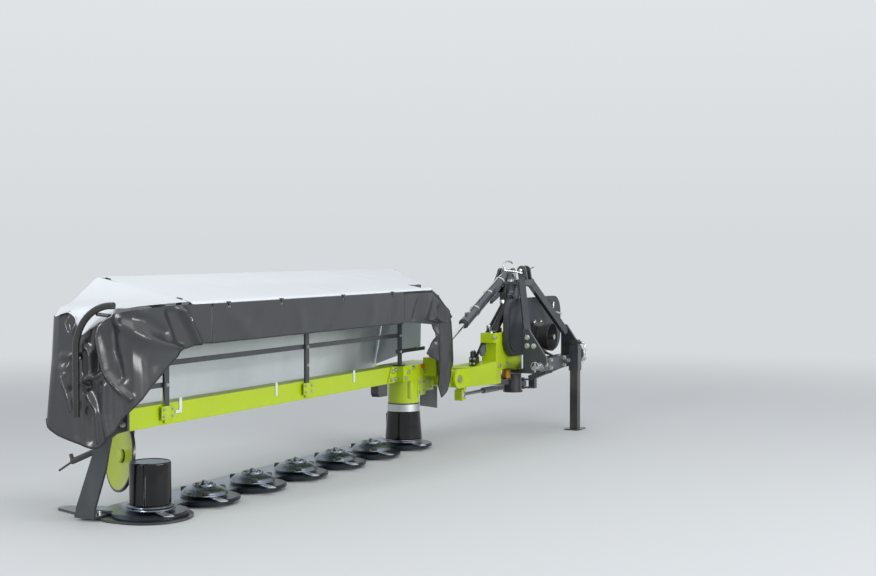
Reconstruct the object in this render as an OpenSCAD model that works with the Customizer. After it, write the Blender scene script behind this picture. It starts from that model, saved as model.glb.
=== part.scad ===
// Side-mounted disc mower with seven discs, parked with its cutterbar on the ground.
// X points out along the cutterbar, Y points in the direction of travel, Z points up.
// Lengths are in millimetres. Places are measured from the hitch centre line (X),
// from the line of disc axes (Y) and from the ground (Z).

/* [Cutterbar] */
// Distance between neighbouring disc axes
disc_pitch = 410; // [400:1:430]
// Distance from the hitch centre line to the innermost disc axis
inner_disc_x = 1040; // [1020:1:1060]
// Radius of the round nose of the bed in front of each disc
lobe_r = 175; // [165:1:180]
// Distance from the disc axes to the straight rear edge of the bed
bed_rear = 250; // [230:1:270]
// Thickness of the bed casting
bed_t = 21; // [18:1:24]
// Thickness of the wear skids under the bed
skid_t = 12; // [10:1:16]

/* [Discs] */
// Thickness of the pressed disc plate
disc_t = 5; // [4:0.5:7]
// Radius of the round ends of the oval disc
disc_end_r = 112; // [108:1:116]
// Distance from the disc centre to the middle of each round end
disc_end_offset = 14; // [10:1:18]
// Height of the dome above the disc plate
dome_h = 33; // [28:1:38]
// Clearance between the bed and the blades
blade_clear = 5; // [5:0.5:8]
// Radius of the circle that the blade tips draw
blade_tip_r = 235; // [225:1:240]
// Width of a blade
blade_w = 46; // [40:1:50]
// Thickness of a blade
blade_t = 4; // [3:0.5:5]
// Radius of the outer swath drum
outer_drum_r = 95; // [80:1:105]
// Height of the top of the outer swath drum above the ground
outer_drum_top = 258; // [230:1:290]
// Radius of the inner swath drum at its foot
inner_drum_r = 113; // [108:1:116]
// Height of the top of the inner swath drum above the ground
inner_drum_top = 227; // [215:1:227]

/* [Carrier beam] */
// Height of the beam section
beam_h = 98; // [80:1:110]
// Depth of the beam section
beam_d = 90; // [70:1:94]
// Wall thickness of the beam
beam_wall = 6; // [4:0.5:8]
// Height of the underside of the beam above the ground
beam_z = 420; // [410:1:440]
// Place of the beam's outer end
beam_end_x = 3698; // [3690:1:3705]

/* [Guards] */
// Height of the tube along the front edge of the cover
front_tube_z = 972; // [960:1:985]
// Place of that tube in front of the disc axes
front_tube_y = 205; // [200:1:212]
// Height of the tube along the ridge of the cover
ridge_tube_z = 1076; // [1060:1:1090]
// Place of the ridge tube behind the disc axes
ridge_tube_y = -295; // [-310:1:-280]
// Radius of the cover tubes
tube_r = 13; // [11:0.5:14]
// Thickness of the cover sheets
sheet_t = 5; // [4:0.5:6]
// Width of the flat guard posts
post_w = 35; // [28:1:42]
// Thickness of the flat guard posts
post_t = 12; // [10:1:14]
// Place of the hoop that holds the outer curtain
hoop_x = 3940; // [3925:1:3960]
// Radius of the hoop's bend
hoop_bend_r = 195; // [180:1:205]
// Radius of the hoop tube
hoop_r = 15; // [13:0.5:17]

/* [Headstock] */
// Distance between the shoulders of the two lower link pins
shoulder_span = 683; // [670:1:700]
// Radius of the lower link pins
lower_pin_r = 14; // [11:0.5:18]
// Length of the lower link pins outside their plates
lower_pin_len = 104; // [95:1:110]
// Height of the lower link pins above the ground
lower_pin_z = 470; // [465:1:480]
// Place of the lower link pins in front of the disc axes
lower_pin_y = 620; // [610:1:630]
// Height of the top link pin above the lower link pins
mast_height = 610; // [605:1:620]
// Radius of the top link pin
top_pin_r = 12.5; // [9.5:0.5:16]
// Gap between the lugs for the top link
top_link_gap = 52; // [46:1:60]
// Thickness of the headstock plates
plate_t = 20; // [16:1:24]

/* [Boom and fold hinge] */
// Distance from the hitch centre line to the fold hinge
fold_x = 660; // [655:1:665]
// Height of the fold hinge above the ground
fold_z = 400; // [395:1:405]
// Radius of the fold pin
fold_pin_r = 25; // [20:0.5:28]
// Running clearance round the fold pin and the kingpin
pin_clear = 0.08; // [0.05:0.01:0.1]
// Place of the kingpin in front of the disc axes
kingpin_y = 280; // [278:1:284]
// Radius of the kingpin
kingpin_r = 30; // [24:0.5:32]

/* [Lift cylinder] */
// Place of the cylinder's upper pin beside the hitch centre line
cyl_top_x = -200; // [-205:1:-195]
// Height of the cylinder's upper pin
cyl_top_z = 1050; // [1046:1:1054]
// Radius of the cylinder barrel
barrel_r = 33; // [29:0.5:34]
// Length of the barrel from its upper pin to its mouth
barrel_len = 752; // [740:1:757]
// Radius of the piston rod
rod_r = 16; // [13:0.5:18]

/* [Swath disc] */
// Radius of the swath disc
swath_disc_r = 172; // [160:1:178]
// Angle between the swath disc's axle and the bar, seen from above
swath_toe = 28.7; // [24:0.1:32]

/* [Hidden] */
$fn = 48;

disc_count = 7;
outer_disc_x = inner_disc_x + (disc_count - 1) * disc_pitch;
bed_z = skid_t;
bed_top = bed_z + bed_t;
blade_z = bed_top + blade_clear;
disc_z = blade_z + blade_t;
dome_z = disc_z + disc_t;
foot_h = 18;
drum_z = dome_z + foot_h;
disc_turn = 60;
collar_z = inner_drum_top + 5;
collar_h = 43;
pot_z = collar_z + collar_h;

// Whole reach of the machine, which sets where the origin lies
shoe_tail_y = -470;
shoe_tail_r = 40;
plate_front_y = lower_pin_y + 40;
crossbar = 80;
crossbar_y = 560;
stand_x = -246;
stand_foot = [150, 110];
stand_y = crossbar_y + crossbar / 2 + 33;
guard_reach = [-600, 330];
reach_x0 = min(-shoulder_span / 2 - lower_pin_len, guard_reach[0]);
reach_x1 = hoop_x + hoop_r;
reach_y0 = shoe_tail_y - shoe_tail_r;
reach_y1 = stand_y + stand_foot[1] / 2;
mid_x = (reach_x0 + reach_x1) / 2;
mid_y = (reach_y0 + reach_y1) / 2;

// Beam
beam_top = beam_z + beam_h;
beam_front = beam_d / 2;
beam_x0 = 1230;
head_z = beam_z + 5;

// Cover line: the underside of the top sheet runs just above the two long tubes
cover_slope = atan2(ridge_tube_z - front_tube_z, front_tube_y - ridge_tube_y);
seat_clear = 0.4;
cover_lift = (tube_r + seat_clear) / cos(cover_slope);
front_edge_y = front_tube_y;
ridge_edge_y = ridge_tube_y - tube_r - 2;
function cover_z(y) = front_tube_z + cover_lift + (front_tube_y - y) * tan(cover_slope);
cover_x0 = 620;
cover_x1 = 3480;
cover_slot_x = 1186;
cover_slot_y = [100, 190];
tube_bend = [[1085, 972], [990, 931], [866, 846], [805, 800]];
rear_hem_z = 440;
rear_hem_y = -436;

// Front band and curtains hang in one plane just in front of the front tube
band_y = front_tube_y + tube_r + 4;
band_x0 = 1462;
band_x1 = 3325;
band_hem_z = front_tube_z - 177;
band_rod_r = 5;
band_rod_y = band_y + sheet_t / 2;
band_rod_z = front_tube_z;
band_eyes = [1600, 2150, 2750, 3200];
post_x = [3447, 2240, 1185];
arm_front_drop = 22;

// Wing that carries the outer curtain, hinged on one line along Y
wing_hinge_x = cover_x1 - 7;
wing_hinge_r = 3.5;
wing_lug_y = [150, -262];
wing_x0 = cover_x1 + 7;
wing_side_x = 3890;
hoop_low_z = 505;
hoop_bend_z = 792;
hoop_top_y = 150;

// Headstock
plate_x = shoulder_span / 2 - plate_t;
crossbar_z = lower_pin_z;
mast_y = 360;
mast_z = lower_pin_z + mast_height;
mast_foot = [plate_x + plate_t / 2, 530, 690];
mast_bar = 42;
lug_t = 16;
top_pin_clear = 0.25;
kingpin_z0 = 395;
kingpin_z1 = mast_z - 75;
ear_t = 20;
post_tube_r = 45;
post_tube_z0 = kingpin_z0 + ear_t + 1;
post_tube_z1 = kingpin_z1 - ear_t - 1;

// Lift cylinder: pins, rest length and direction
cyl_y = 145;
cyl_low = [fold_x + 180, fold_z + 180];
cyl_dx = cyl_low[0] - cyl_top_x;
cyl_dz = cyl_low[1] - cyl_top_z;
cyl_len = norm([cyl_dx, cyl_dz]);
cyl_angle = atan2(-cyl_dz, cyl_dx);
cyl_pin_r = 20;
eye_w = 40;
eye_gap = 5;
top_eye_w = 66;
top_eye_gap = 5;

// Fold hinge: a fork on the boom round a boss on the mower
boss_r = 56;
boss_y0 = 24;
boss_y1 = 176;
fork_t = 16;
fork_gap = 6;

// Break-away strut under the boom
strut_z = 284;
strut_in = [-360, 200];
strut_out = [505, 140];
strut_len = norm(strut_out - strut_in);
strut_angle = atan2(strut_out[1] - strut_in[1], strut_out[0] - strut_in[0]);
strut_tube_len = 560;
strut_r = 20;
strut_rod_r = 11;

// Swath disc
swath_c = [3332, -290, 238];
swath_tilt = 6;
swath_shaft_r = 12;

module at_frame() {
    translate([-mid_x, -mid_y, 0]) children();
}

// A round bar or tube between two points
module rod(p, q, r) {
    d = q - p;
    translate(p)
        rotate([0, acos(d[2] / norm(d)), atan2(d[1], d[0])])
            cylinder(r = r, h = norm(d));
}

// A square bar between two points
module square_bar(p, q, s) {
    d = q - p;
    translate(p)
        rotate([0, acos(d[2] / norm(d)), atan2(d[1], d[0])])
            translate([-s / 2, -s / 2, 0]) cube([s, s, norm(d)]);
}

// A flat plate in the YZ plane, from x to x + t, with its outline given as [y, z]
module plate_yz(outline, x, t) {
    translate([x, 0, 0]) rotate([90, 0, 90]) linear_extrude(t) polygon(outline);
}

// A flat plate in the XZ plane, from y to y + t, with its outline given as [x, z]
module plate_xz(outline, y, t) {
    translate([0, y + t, 0]) rotate([90, 0, 0]) linear_extrude(t) polygon(outline);
}

// A cylinder along Y from y to y + w
module disc_y(x, y, z, r, w) {
    translate([x, y + w, z]) rotate([90, 0, 0]) cylinder(r = r, h = w);
}

// A cylinder along X from x to x + w
module disc_x(x, y, z, r, w) {
    translate([x, y, z]) rotate([0, 90, 0]) cylinder(r = r, h = w);
}

// Outline of two circles joined by their outer tangents
module link_2d(c1, r1, c2, r2) {
    d = c2 - c1;
    a = atan2(d[1], d[0]);
    b = acos((r1 - r2) / norm(d));
    translate(c1) circle(r = r1);
    translate(c2) circle(r = r2);
    polygon([c1 + r1 * [cos(a + b), sin(a + b)], c1 + r1 * [cos(a - b), sin(a - b)],
        c2 + r2 * [cos(a - b), sin(a - b)], c2 + r2 * [cos(a + b), sin(a + b)]]);
}

// The same outline as a plate in the XZ plane, from y to y + t
module link_xz(c1, r1, c2, r2, y, t) {
    translate([0, y + t, 0]) rotate([90, 0, 0]) linear_extrude(t) link_2d(c1, r1, c2, r2);
}

// Rectangle with round corners
module round_rect_2d(w, h, r) {
    translate([-w / 2 + r, -h / 2]) square([w - 2 * r, h]);
    translate([-w / 2, -h / 2 + r]) square([w, h - 2 * r]);
    for (sx = [-1, 1], sy = [-1, 1])
        translate([sx * (w / 2 - r), sy * (h / 2 - r)]) circle(r = r);
}

// Headstock

module hitch_crossbar() {
    color("#3c4148") at_frame() {
        difference() {
            translate([-plate_x, crossbar_y - crossbar / 2, crossbar_z - crossbar / 2])
                cube([2 * plate_x, crossbar, crossbar]);
            translate([-plate_x - 1, crossbar_y - crossbar / 2 + 8, crossbar_z - crossbar / 2 + 8])
                cube([2 * plate_x + 2, crossbar - 16, crossbar - 16]);
        }
        // Lower ear for the kingpin
        difference() {
            union() {
                translate([0, kingpin_y, kingpin_z0]) cylinder(r = 62, h = ear_t);
                translate([-62, kingpin_y, kingpin_z0])
                    cube([124, crossbar_y - crossbar / 2 + 20 - kingpin_y, ear_t]);
                for (x = [-62, 46])
                    plate_yz([[kingpin_y + 75, kingpin_z0 + ear_t], [crossbar_y - crossbar / 2, kingpin_z0 + ear_t],
                        [crossbar_y - crossbar / 2, crossbar_z + 30]], x, 16);
            }
            translate([0, kingpin_y, kingpin_z0 - 1]) cylinder(r = kingpin_r, h = ear_t + 2);
        }
        // Bracket for the break-away strut
        square_bar([-290, crossbar_y - 20, crossbar_z - 30], [strut_in[0] - 25, strut_in[1] + 45, strut_z + 35], 36);
        for (z = [strut_z - 34, strut_z + 22])
            translate([0, 0, z]) linear_extrude(12)
                link_2d(strut_in, 26, strut_in + [-25, 55], 26);
        translate([strut_in[0] - 51, strut_in[1] + 40, strut_z - 34]) cube([44, 44, 68]);
        translate([strut_in[0], strut_in[1], strut_z - 40]) cylinder(r = 12, h = 80);
        // Sleeve for the parking stand
        difference() {
            translate([stand_x - 33, crossbar_y + crossbar / 2, crossbar_z - 70]) cube([66, 66, 170]);
            translate([stand_x - 27.5, crossbar_y + crossbar / 2 + 5.5, crossbar_z - 71]) cube([55, 55, 172]);
        }
    }
}

module hitch_plates() {
    outline = [[500, 710], [540, 705], [660, 530], [plate_front_y, 490], [612, 425], [500, 425]];
    color("#3c4148") at_frame() {
        for (x = [-plate_x - plate_t, plate_x])
            plate_yz(outline, x, plate_t);
        color("#b9bcc0") for (s = [-1, 1]) {
            disc_x(s > 0 ? plate_x + plate_t : -plate_x - plate_t - lower_pin_len,
                lower_pin_y, lower_pin_z, lower_pin_r, lower_pin_len);
            disc_x(s > 0 ? plate_x + plate_t : -plate_x - plate_t - 10,
                lower_pin_y, lower_pin_z, lower_pin_r + 11, 10);
        }
    }
}

module hitch_mast() {
    color("#3c4148") at_frame() {
        for (s = [-1, 1])
            square_bar([s * mast_foot[0], mast_foot[1], mast_foot[2] - 40],
                [s * (top_link_gap / 2 + 30), mast_y + 6, mast_z - 60], mast_bar);
        // Head block that joins both legs and the upper ear of the kingpin
        translate([-75, mast_y - 20, mast_z - 100]) cube([150, 62, 40]);
        difference() {
            union() {
                translate([0, kingpin_y, kingpin_z1 - ear_t]) cylinder(r = 60, h = ear_t);
                translate([-60, kingpin_y, kingpin_z1 - ear_t]) cube([120, mast_y - kingpin_y, ear_t]);
            }
            translate([0, kingpin_y, kingpin_z1 - ear_t - 1]) cylinder(r = kingpin_r, h = ear_t + 2);
        }
        // Lugs for the tractor's top link
        for (x = [-top_link_gap / 2 - lug_t, top_link_gap / 2])
            difference() {
                union() {
                    disc_x(x, mast_y, mast_z, 32, lug_t);
                    plate_yz([[mast_y - 20, mast_z - 60], [mast_y + 42, mast_z - 60], [mast_y + 31, mast_z + 5],
                        [mast_y - 31, mast_z + 5]], x, lug_t);
                }
                disc_x(x - 1, mast_y, mast_z, top_pin_r + top_pin_clear, lug_t + 2);
            }
        // Kingpin, held by the upper and the lower ear
        color("#8c9094") {
            translate([0, kingpin_y, kingpin_z0]) cylinder(r = kingpin_r, h = kingpin_z1 - kingpin_z0);
            translate([0, kingpin_y, kingpin_z1]) cylinder(r = kingpin_r + 8, h = 14);
        }
    }
}

module drive_guard() {
    guard_x = (guard_reach[0] + guard_reach[1]) / 2;
    guard_w = guard_reach[1] - guard_reach[0];
    guard_h = 376;
    guard_z = 708;
    guard_y = kingpin_y + 76;
    guard_t = 30;
    color("#44464a") at_frame() {
        translate([guard_x, guard_y + guard_t, guard_z]) rotate([90, 0, 0]) linear_extrude(guard_t)
            round_rect_2d(guard_w, guard_h, 120);
        translate([guard_x, guard_y + guard_t + 6, guard_z]) rotate([90, 0, 0]) linear_extrude(6)
            round_rect_2d(guard_w - 60, guard_h - 60, 92);
        // Spacers towards the input gearbox
        for (x = [-60, 60])
            disc_y(x, guard_y + guard_t + 6, guard_z, 10, 14);
    }
}

module input_gearbox() {
    gear_y = kingpin_y + 84 + 36 + 6;
    gear_z = 640;
    color("#2a2c2f") at_frame() {
        translate([-85, gear_y, gear_z - 95]) cube([170, 62, 190]);
        translate([0, gear_y + 62, gear_z]) rotate([-90, 0, 0]) cylinder(r = 62, h = 14);
        translate([0, gear_y + 76, gear_z]) rotate([-90, 0, 0]) cylinder(r = 30, h = 14);
        color("#a9acb0") translate([0, gear_y + 90, gear_z]) rotate([-90, 0, 0]) cylinder(r = 17.4, h = 84);
        // Feet on the crossbar's brackets
        for (x = [-85, 65])
            plate_yz([[gear_y, gear_z - 95], [gear_y + 62, gear_z - 95],
                [crossbar_y - 10, crossbar_z + crossbar / 2], [crossbar_y - 40, crossbar_z + crossbar / 2]], x, 20);
    }
}

// Bell-shaped guard with rings round the power shaft
module shaft_bell() {
    gear_y = kingpin_y + 84 + 36 + 6;
    gear_z = 640;
    ring = 12;
    color("#17181a") at_frame()
        translate([0, gear_y + 62, gear_z]) rotate([-90, 0, 0])
            rotate_extrude()
                polygon(concat([[67, 0], [67, 8]],
                    [for (i = [0:6], k = [0, 1]) [67 + 3.5 * i + 5 * k, 8 + ring * i + ring * k / 2]],
                    [[93, 98], [87, 98]],
                    [for (i = [6:-1:0]) [62.5 + 3.5 * i, 14 + ring * i]], [[62.5, 0]]));
}

module stand_leg() {
    leg_top = crossbar_z + 130;
    color("#2a2c2f") at_frame() {
        translate([stand_x - 27, stand_y - 27, 8]) cube([54, 54, leg_top]);
        translate([stand_x, stand_y, 0]) linear_extrude(8) round_rect_2d(stand_foot[0], stand_foot[1], 20);
        // Locking pin with its ring
        disc_y(stand_x, stand_y + 27, leg_top - 10, 8, 24);
    }
}

// Swing frame

module swing_post() {
    cheek_y = [cyl_y - top_eye_w / 2 - top_eye_gap - lug_t, cyl_y + top_eye_w / 2 + top_eye_gap];
    clevis_w = top_eye_w + 2 * top_eye_gap + 2 * lug_t;
    color("#3c4148") at_frame() {
        difference() {
            union() {
                translate([0, kingpin_y, post_tube_z0]) cylinder(r = post_tube_r, h = post_tube_z1 - post_tube_z0);
                // Gusset towards the cylinder's clevis
                translate([-70, cheek_y[1], 850]) cube([70, 78, 80]);
            }
            translate([0, kingpin_y, post_tube_z0 - 1])
                cylinder(r = kingpin_r + pin_clear, h = post_tube_z1 - post_tube_z0 + 2);
        }
        // Clevis for the lift cylinder: two tapered cheeks and a back web
        for (y = cheek_y)
            difference() {
                union() {
                    disc_y(cyl_top_x, y, cyl_top_z, 42, lug_t);
                    plate_xz([[cyl_top_x - 42, cyl_top_z], [cyl_top_x - 42, cyl_top_z - 130], [-40, 850],
                        [-40, 930], [cyl_top_x + 40, cyl_top_z + 12]], y, lug_t);
                }
                disc_y(cyl_top_x, y - 1, cyl_top_z, cyl_pin_r, lug_t + 2);
            }
        translate([cyl_top_x - 58, cheek_y[0], cyl_top_z - 130]) cube([16, clevis_w, 100]);
        color("#a9acb0")
            disc_y(cyl_top_x, cheek_y[0] - 8, cyl_top_z, cyl_pin_r, clevis_w + 16);
    }
}

module swing_arm() {
    arm_y0 = 245;
    arm_y1 = 345;
    color("#b4cf00") at_frame() {
        // Sleeve on the post and the box section beside it
        difference() {
            union() {
                translate([0, kingpin_y, post_tube_z0]) cylinder(r = 60, h = 230);
                translate([0, arm_y0, 440]) cube([420, arm_y1 - arm_y0, 180]);
                translate([190, arm_y0 + 8, 620]) cube([270, arm_y1 - arm_y0 - 8, 62]);
            }
            translate([0, kingpin_y, post_tube_z0 - 1]) cylinder(r = post_tube_r, h = 300);
            // Pocket for the lower end of the relief spring
            translate([300, spring_y - 26, 622]) cube([130, 52, 80]);
        }
        // Throat that drops and runs back to the fork
        hull() {
            translate([340, arm_y0, 352]) cube([80, arm_y1 - arm_y0, 148]);
            translate([505, boss_y0 - fork_gap - fork_t, fold_z - 62])
                cube([20, boss_y1 - boss_y0 + 2 * fork_gap + 2 * fork_t, 118]);
        }
        for (y = [boss_y0 - fork_gap - fork_t, boss_y1 + fork_gap])
            link_xz([530, fold_z - 3], 59, [fold_x, fold_z], 62, y, fork_t);
        // Fold pin
        color("#8c9094")
            disc_y(fold_x, boss_y0 - fork_gap - fork_t - 12, fold_z, fold_pin_r,
                boss_y1 - boss_y0 + 2 * fork_gap + 2 * fork_t + 24);
        // Lug for the break-away strut
        for (z = [strut_z - 34, strut_z + 22])
            translate([0, 0, z]) linear_extrude(12)
                link_2d(strut_out, 26, [strut_out[0] + 26, strut_out[1]], 26);
        translate([strut_out[0] + 34, strut_out[1] - 26, strut_z - 34]) cube([18, 52, 68]);
        translate([strut_out[0] - 15, strut_out[1] - 26, strut_z + 28]) cube([36, 52, 32]);
        translate([strut_out[0], strut_out[1], strut_z - 40]) cylinder(r = 12, h = 80);
    }
}

// Relief spring
spring_top = [70, 930];
spring_low = [400, 649];
spring_y = 305;
spring_r = 20;
spring_wire = 4.2;
spring_turns = 16;
spring_rod_r = 7;

// Tapered stay between the post's head and the boom, with the guide rod of the spring
module stay_plate() {
    d = spring_low - spring_top;
    len = norm(d);
    at_frame() difference() {
        union() {
            color("#4a5560") link_xz([-10, 905], 40, [470, 560], 26, 262, 14);
            color("#3c4148") {
                translate([spring_top[0], spring_y, spring_top[1]])
                    rotate([0, 90 + atan2(-d[1], d[0]), 0]) {
                        cylinder(r = spring_rod_r, h = len);
                        translate([0, 0, 36]) cylinder(r = 27, h = 9);
                        translate([0, 0, len - 45]) cylinder(r = 25, h = 9);
                    }
                disc_y(spring_top[0], spring_y - 14, spring_top[1], 20, 28);
                disc_y(spring_low[0], spring_y - 14, spring_low[1], 20, 28);
                disc_y(spring_low[0], spring_y - 34, spring_low[1], 9, 68);
                square_bar([0, kingpin_y, spring_top[1]], [spring_top[0], spring_y, spring_top[1]], 24);
            }
        }
        // The stay and the spring's bracket are welded to the outside of the post
        translate([0, kingpin_y, post_tube_z0]) cylinder(r = post_tube_r, h = post_tube_z1 - post_tube_z0);
    }
}

module relief_spring() {
    d = spring_low - spring_top;
    len = norm(d);
    coil_len = len - 90;
    color("#111214") at_frame()
        translate([spring_top[0], spring_y, spring_top[1]])
            rotate([0, 90 + atan2(-d[1], d[0]), 0])
                translate([0, 0, 45])
                    union() {
                        // Inner sleeve that guides the turns
                        difference() {
                            translate([0, 0, 0.3]) cylinder(r = spring_r - spring_wire + 1, h = coil_len - 0.6);
                            cylinder(r = spring_rod_r + 0.3, h = coil_len);
                        }
                        for (i = [0:spring_turns - 1])
                            translate([0, 0, (i + 0.5) * coil_len / spring_turns])
                                rotate_extrude() translate([spring_r, 0]) circle(r = spring_wire, $fn = 12);
                    }
}

module transfer_box() {
    color("#2a2c2f") at_frame() {
        translate([0, kingpin_y, 262]) cylinder(r = 58, h = 126);
        translate([0, kingpin_y, 262]) cylinder(r = 66, h = 12);
        square_bar([0, kingpin_y, 348], [134, 155, 352], 70);
        rod([130, 159, 352], [142, 140, 352], 12);
        translate([142, 140, 352]) sphere(r = 13.5);
    }
}

module drive_shaft() {
    p = [150, 125, 353];
    q = [636, -108, 396];
    d = (q - p) / norm(q - p);
    color("#17181a") at_frame() {
        rod(p, q - 20 * d, 24);
        rod(p, p + 60 * d, 38);
        rod(q - 105 * d, q - 40 * d, 40);
        rod(q - 30 * d, q, 18);
        translate([fold_x, -118, fold_z]) sphere(r = 26);
    }
}

// Break-away strut: a tube on the headstock and a rod on the boom

module strut_tube() {
    color("#55595d") at_frame()
        translate([strut_in[0], strut_in[1], strut_z]) rotate([0, 0, strut_angle]) {
            difference() {
                translate([0, 0, -17]) cylinder(r = 24, h = 34);
                translate([0, 0, -18]) cylinder(r = 12 + pin_clear, h = 36);
            }
            difference() {
                translate([22, 0, 0]) rotate([0, 90, 0]) cylinder(r = strut_r, h = strut_tube_len);
                translate([120, 0, 0]) rotate([0, 90, 0]) cylinder(r = strut_rod_r + 0.3, h = strut_tube_len);
            }
        }
}

module strut_rod() {
    color("#8c9094") at_frame()
        translate([strut_out[0], strut_out[1], strut_z]) rotate([0, 0, 180 + strut_angle]) {
            difference() {
                translate([0, 0, -17]) cylinder(r = 24, h = 34);
                translate([0, 0, -18]) cylinder(r = 20, h = 36);
            }
            translate([21, 0, 0]) rotate([0, 90, 0]) cylinder(r = strut_rod_r, h = strut_len - 21 - 300);
        }
}

// Lift cylinder, drawn along its own axis from the upper pin

module cylinder_axis() {
    translate([cyl_top_x, cyl_y, cyl_top_z]) rotate([0, 90 + cyl_angle, 0]) children();
}

module lift_barrel() {
    bore_r = rod_r + 6;
    color("#4a5560") at_frame() cylinder_axis() {
        difference() {
            union() {
                rotate([90, 0, 0]) translate([0, 0, -top_eye_w / 2]) cylinder(r = 32, h = top_eye_w);
                translate([0, 0, 28]) cylinder(r = barrel_r, h = barrel_len - 28);
                translate([0, 0, barrel_len - 40]) cylinder(r = barrel_r + 0.8, h = 40);
                // Oil port
                translate([0, 0, barrel_len - 62]) rotate([0, -90, 0]) cylinder(r = 11, h = barrel_r + 14);
            }
            rotate([90, 0, 0]) translate([0, 0, -top_eye_w / 2 - 1])
                cylinder(r = cyl_pin_r + pin_clear, h = top_eye_w + 2);
            translate([0, 0, 90]) cylinder(r = bore_r, h = barrel_len - 114);
            translate([0, 0, barrel_len - 30]) cylinder(r = rod_r + pin_clear, h = 40);
        }
    }
}

module lift_rod() {
    rod_inside = 330;
    color("#c9ccd0") at_frame() cylinder_axis() {
        translate([0, 0, barrel_len - rod_inside]) cylinder(r = rod_r, h = cyl_len - barrel_len + rod_inside - 20);
        translate([0, 0, barrel_len - rod_inside]) cylinder(r = rod_r + 5.5, h = 24);
        translate([0, 0, cyl_len]) rotate([90, 0, 0]) translate([0, 0, -eye_w / 2]) cylinder(r = 30, h = eye_w);
    }
}

// Mower frame

module hinge_head() {
    block_y0 = -95;
    block_y1 = 100;
    color("#b4cf00") at_frame() {
        difference() {
            union() {
                disc_y(fold_x, boss_y0, fold_z, boss_r, boss_y1 - boss_y0);
                plate_xz([[fold_x, fold_z - boss_r], [800, 372], [826, head_z], [900, head_z], [900, 468], [690, 468],
                    [fold_x + 12, fold_z + 54]], boss_y0 + 14, boss_y1 - boss_y0 - 28);
            }
            disc_y(fold_x, boss_y0 - 1, fold_z, fold_pin_r + pin_clear, boss_y1 - boss_y0 + 2);
        }
        translate([740, block_y0, head_z]) cube([beam_x0 - 740, block_y1 - block_y0, beam_top - head_z]);
        // Slanted flange plates bolted to the beam
        for (y = [-beam_front - 10, beam_front])
            plate_xz([[beam_x0, head_z + 2], [1335, head_z + 2], [1290, beam_top - 3], [beam_x0, beam_top - 3]], y, 10);
        // Lugs for the lift cylinder's rod on their web
        for (y = [cyl_y - eye_w / 2 - eye_gap - lug_t, cyl_y + eye_w / 2 + eye_gap])
            link_xz(cyl_low, 34, [905, 482], 40, y, lug_t);
        translate([884, block_y1 - 6, 442]) cube([76, cyl_y + eye_w / 2 + eye_gap + lug_t - block_y1 + 6, 112]);
    }
}

module mower_gearbox() {
    neck_y = -100;
    color("#b4cf00") at_frame() {
        translate([inner_disc_x, 0, pot_z + 8]) cylinder(r = 95, h = head_z - pot_z - 8);
        translate([inner_disc_x + 45, 70, 314]) cylinder(r = 25, h = head_z - 314);
        // Stepped housing between the pot and the bearing neck
        translate([940, -60, 325]) cube([100, 160, head_z - 325]);
        translate([833, -60, 346]) cube([120, 160, head_z - 346]);
        translate([740, neck_y - 24, fold_z - 44]) cube([120, 84, head_z - fold_z + 44]);
        disc_x(718, neck_y, fold_z, 24, 40);
        color("#17181a") disc_x(702, neck_y, fold_z, 16, 30);
        // Dark ring under the pot
        color("#17181a") translate([inner_disc_x, 0, pot_z]) cylinder(r = 97, h = 8);
    }
}

module drum_collar() {
    color("#c2c5c8") at_frame()
        translate([inner_disc_x, 0, collar_z]) cylinder(r = 99, h = collar_h);
}

module carrier_beam() {
    color("#b4cf00") at_frame()
        difference() {
            translate([beam_x0, -beam_front, beam_z]) cube([beam_end_x - beam_x0, beam_d, beam_h]);
            translate([beam_x0 + 20, -beam_front + beam_wall, beam_z + beam_wall])
                cube([beam_end_x - beam_x0, beam_d - 2 * beam_wall, beam_h - 2 * beam_wall]);
        }
}

// Plates behind the inner drum that carry the bar under the hinge head
module bar_bracket() {
    hanger = [752, -210];
    color("#3c4148") at_frame() {
        // Hanger behind the inner drum, from the inner shoe up to the head
        translate([hanger[0], hanger[1], bed_top]) cube([32, 80, 466 - bed_top]);
        translate([hanger[0], hanger[1], 440]) cube([118, -95 - hanger[1], 26]);
        plate_yz([[-130, bed_top], [-110, bed_top], [-130, 130]], hanger[0], 32);
        // Upright guard plate beside the drum
        plate_xz([[948, 254], [722, 216], [722, 352], [800, 364], [832.7, 364], [832.7, 345.7], [939, 345.7], [939, 324], [948, 324]], 66, 6);
        // Bracket under the beam
        plate_xz([[1336, 350], [1436, 352], [1450, 372], [1450, beam_z], [1336, beam_z]], 0, 50);
    }
}

// Cutterbar

module bed_outline(shrink) {
    x0 = inner_disc_x - 120;
    translate([x0 + shrink, -bed_rear + shrink])
        square([outer_disc_x + 110 - x0 - 2 * shrink, bed_rear + 30 - 2 * shrink]);
    translate([740 + shrink, -bed_rear + shrink]) square([x0 - 740, 150 - 2 * shrink]);
    for (i = [0:disc_count - 1])
        translate([inner_disc_x + i * disc_pitch, 0]) circle(r = lobe_r - shrink, $fn = 72);
}

module cutterbar_bed() {
    low = 6;
    step = 3;
    seat_h = 3;
    color("#7d8790") at_frame() {
        translate([0, 0, bed_z]) linear_extrude(low) bed_outline(14);
        translate([0, 0, bed_z + low]) linear_extrude(bed_t - low - step) bed_outline(0);
        translate([0, 0, bed_top - step]) linear_extrude(step) bed_outline(8);
        // Round bearing seats under the discs
        for (i = [0:disc_count - 1])
            translate([inner_disc_x + i * disc_pitch, 0, bed_top]) cylinder(r = 60, h = seat_h);
    }
}

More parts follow.
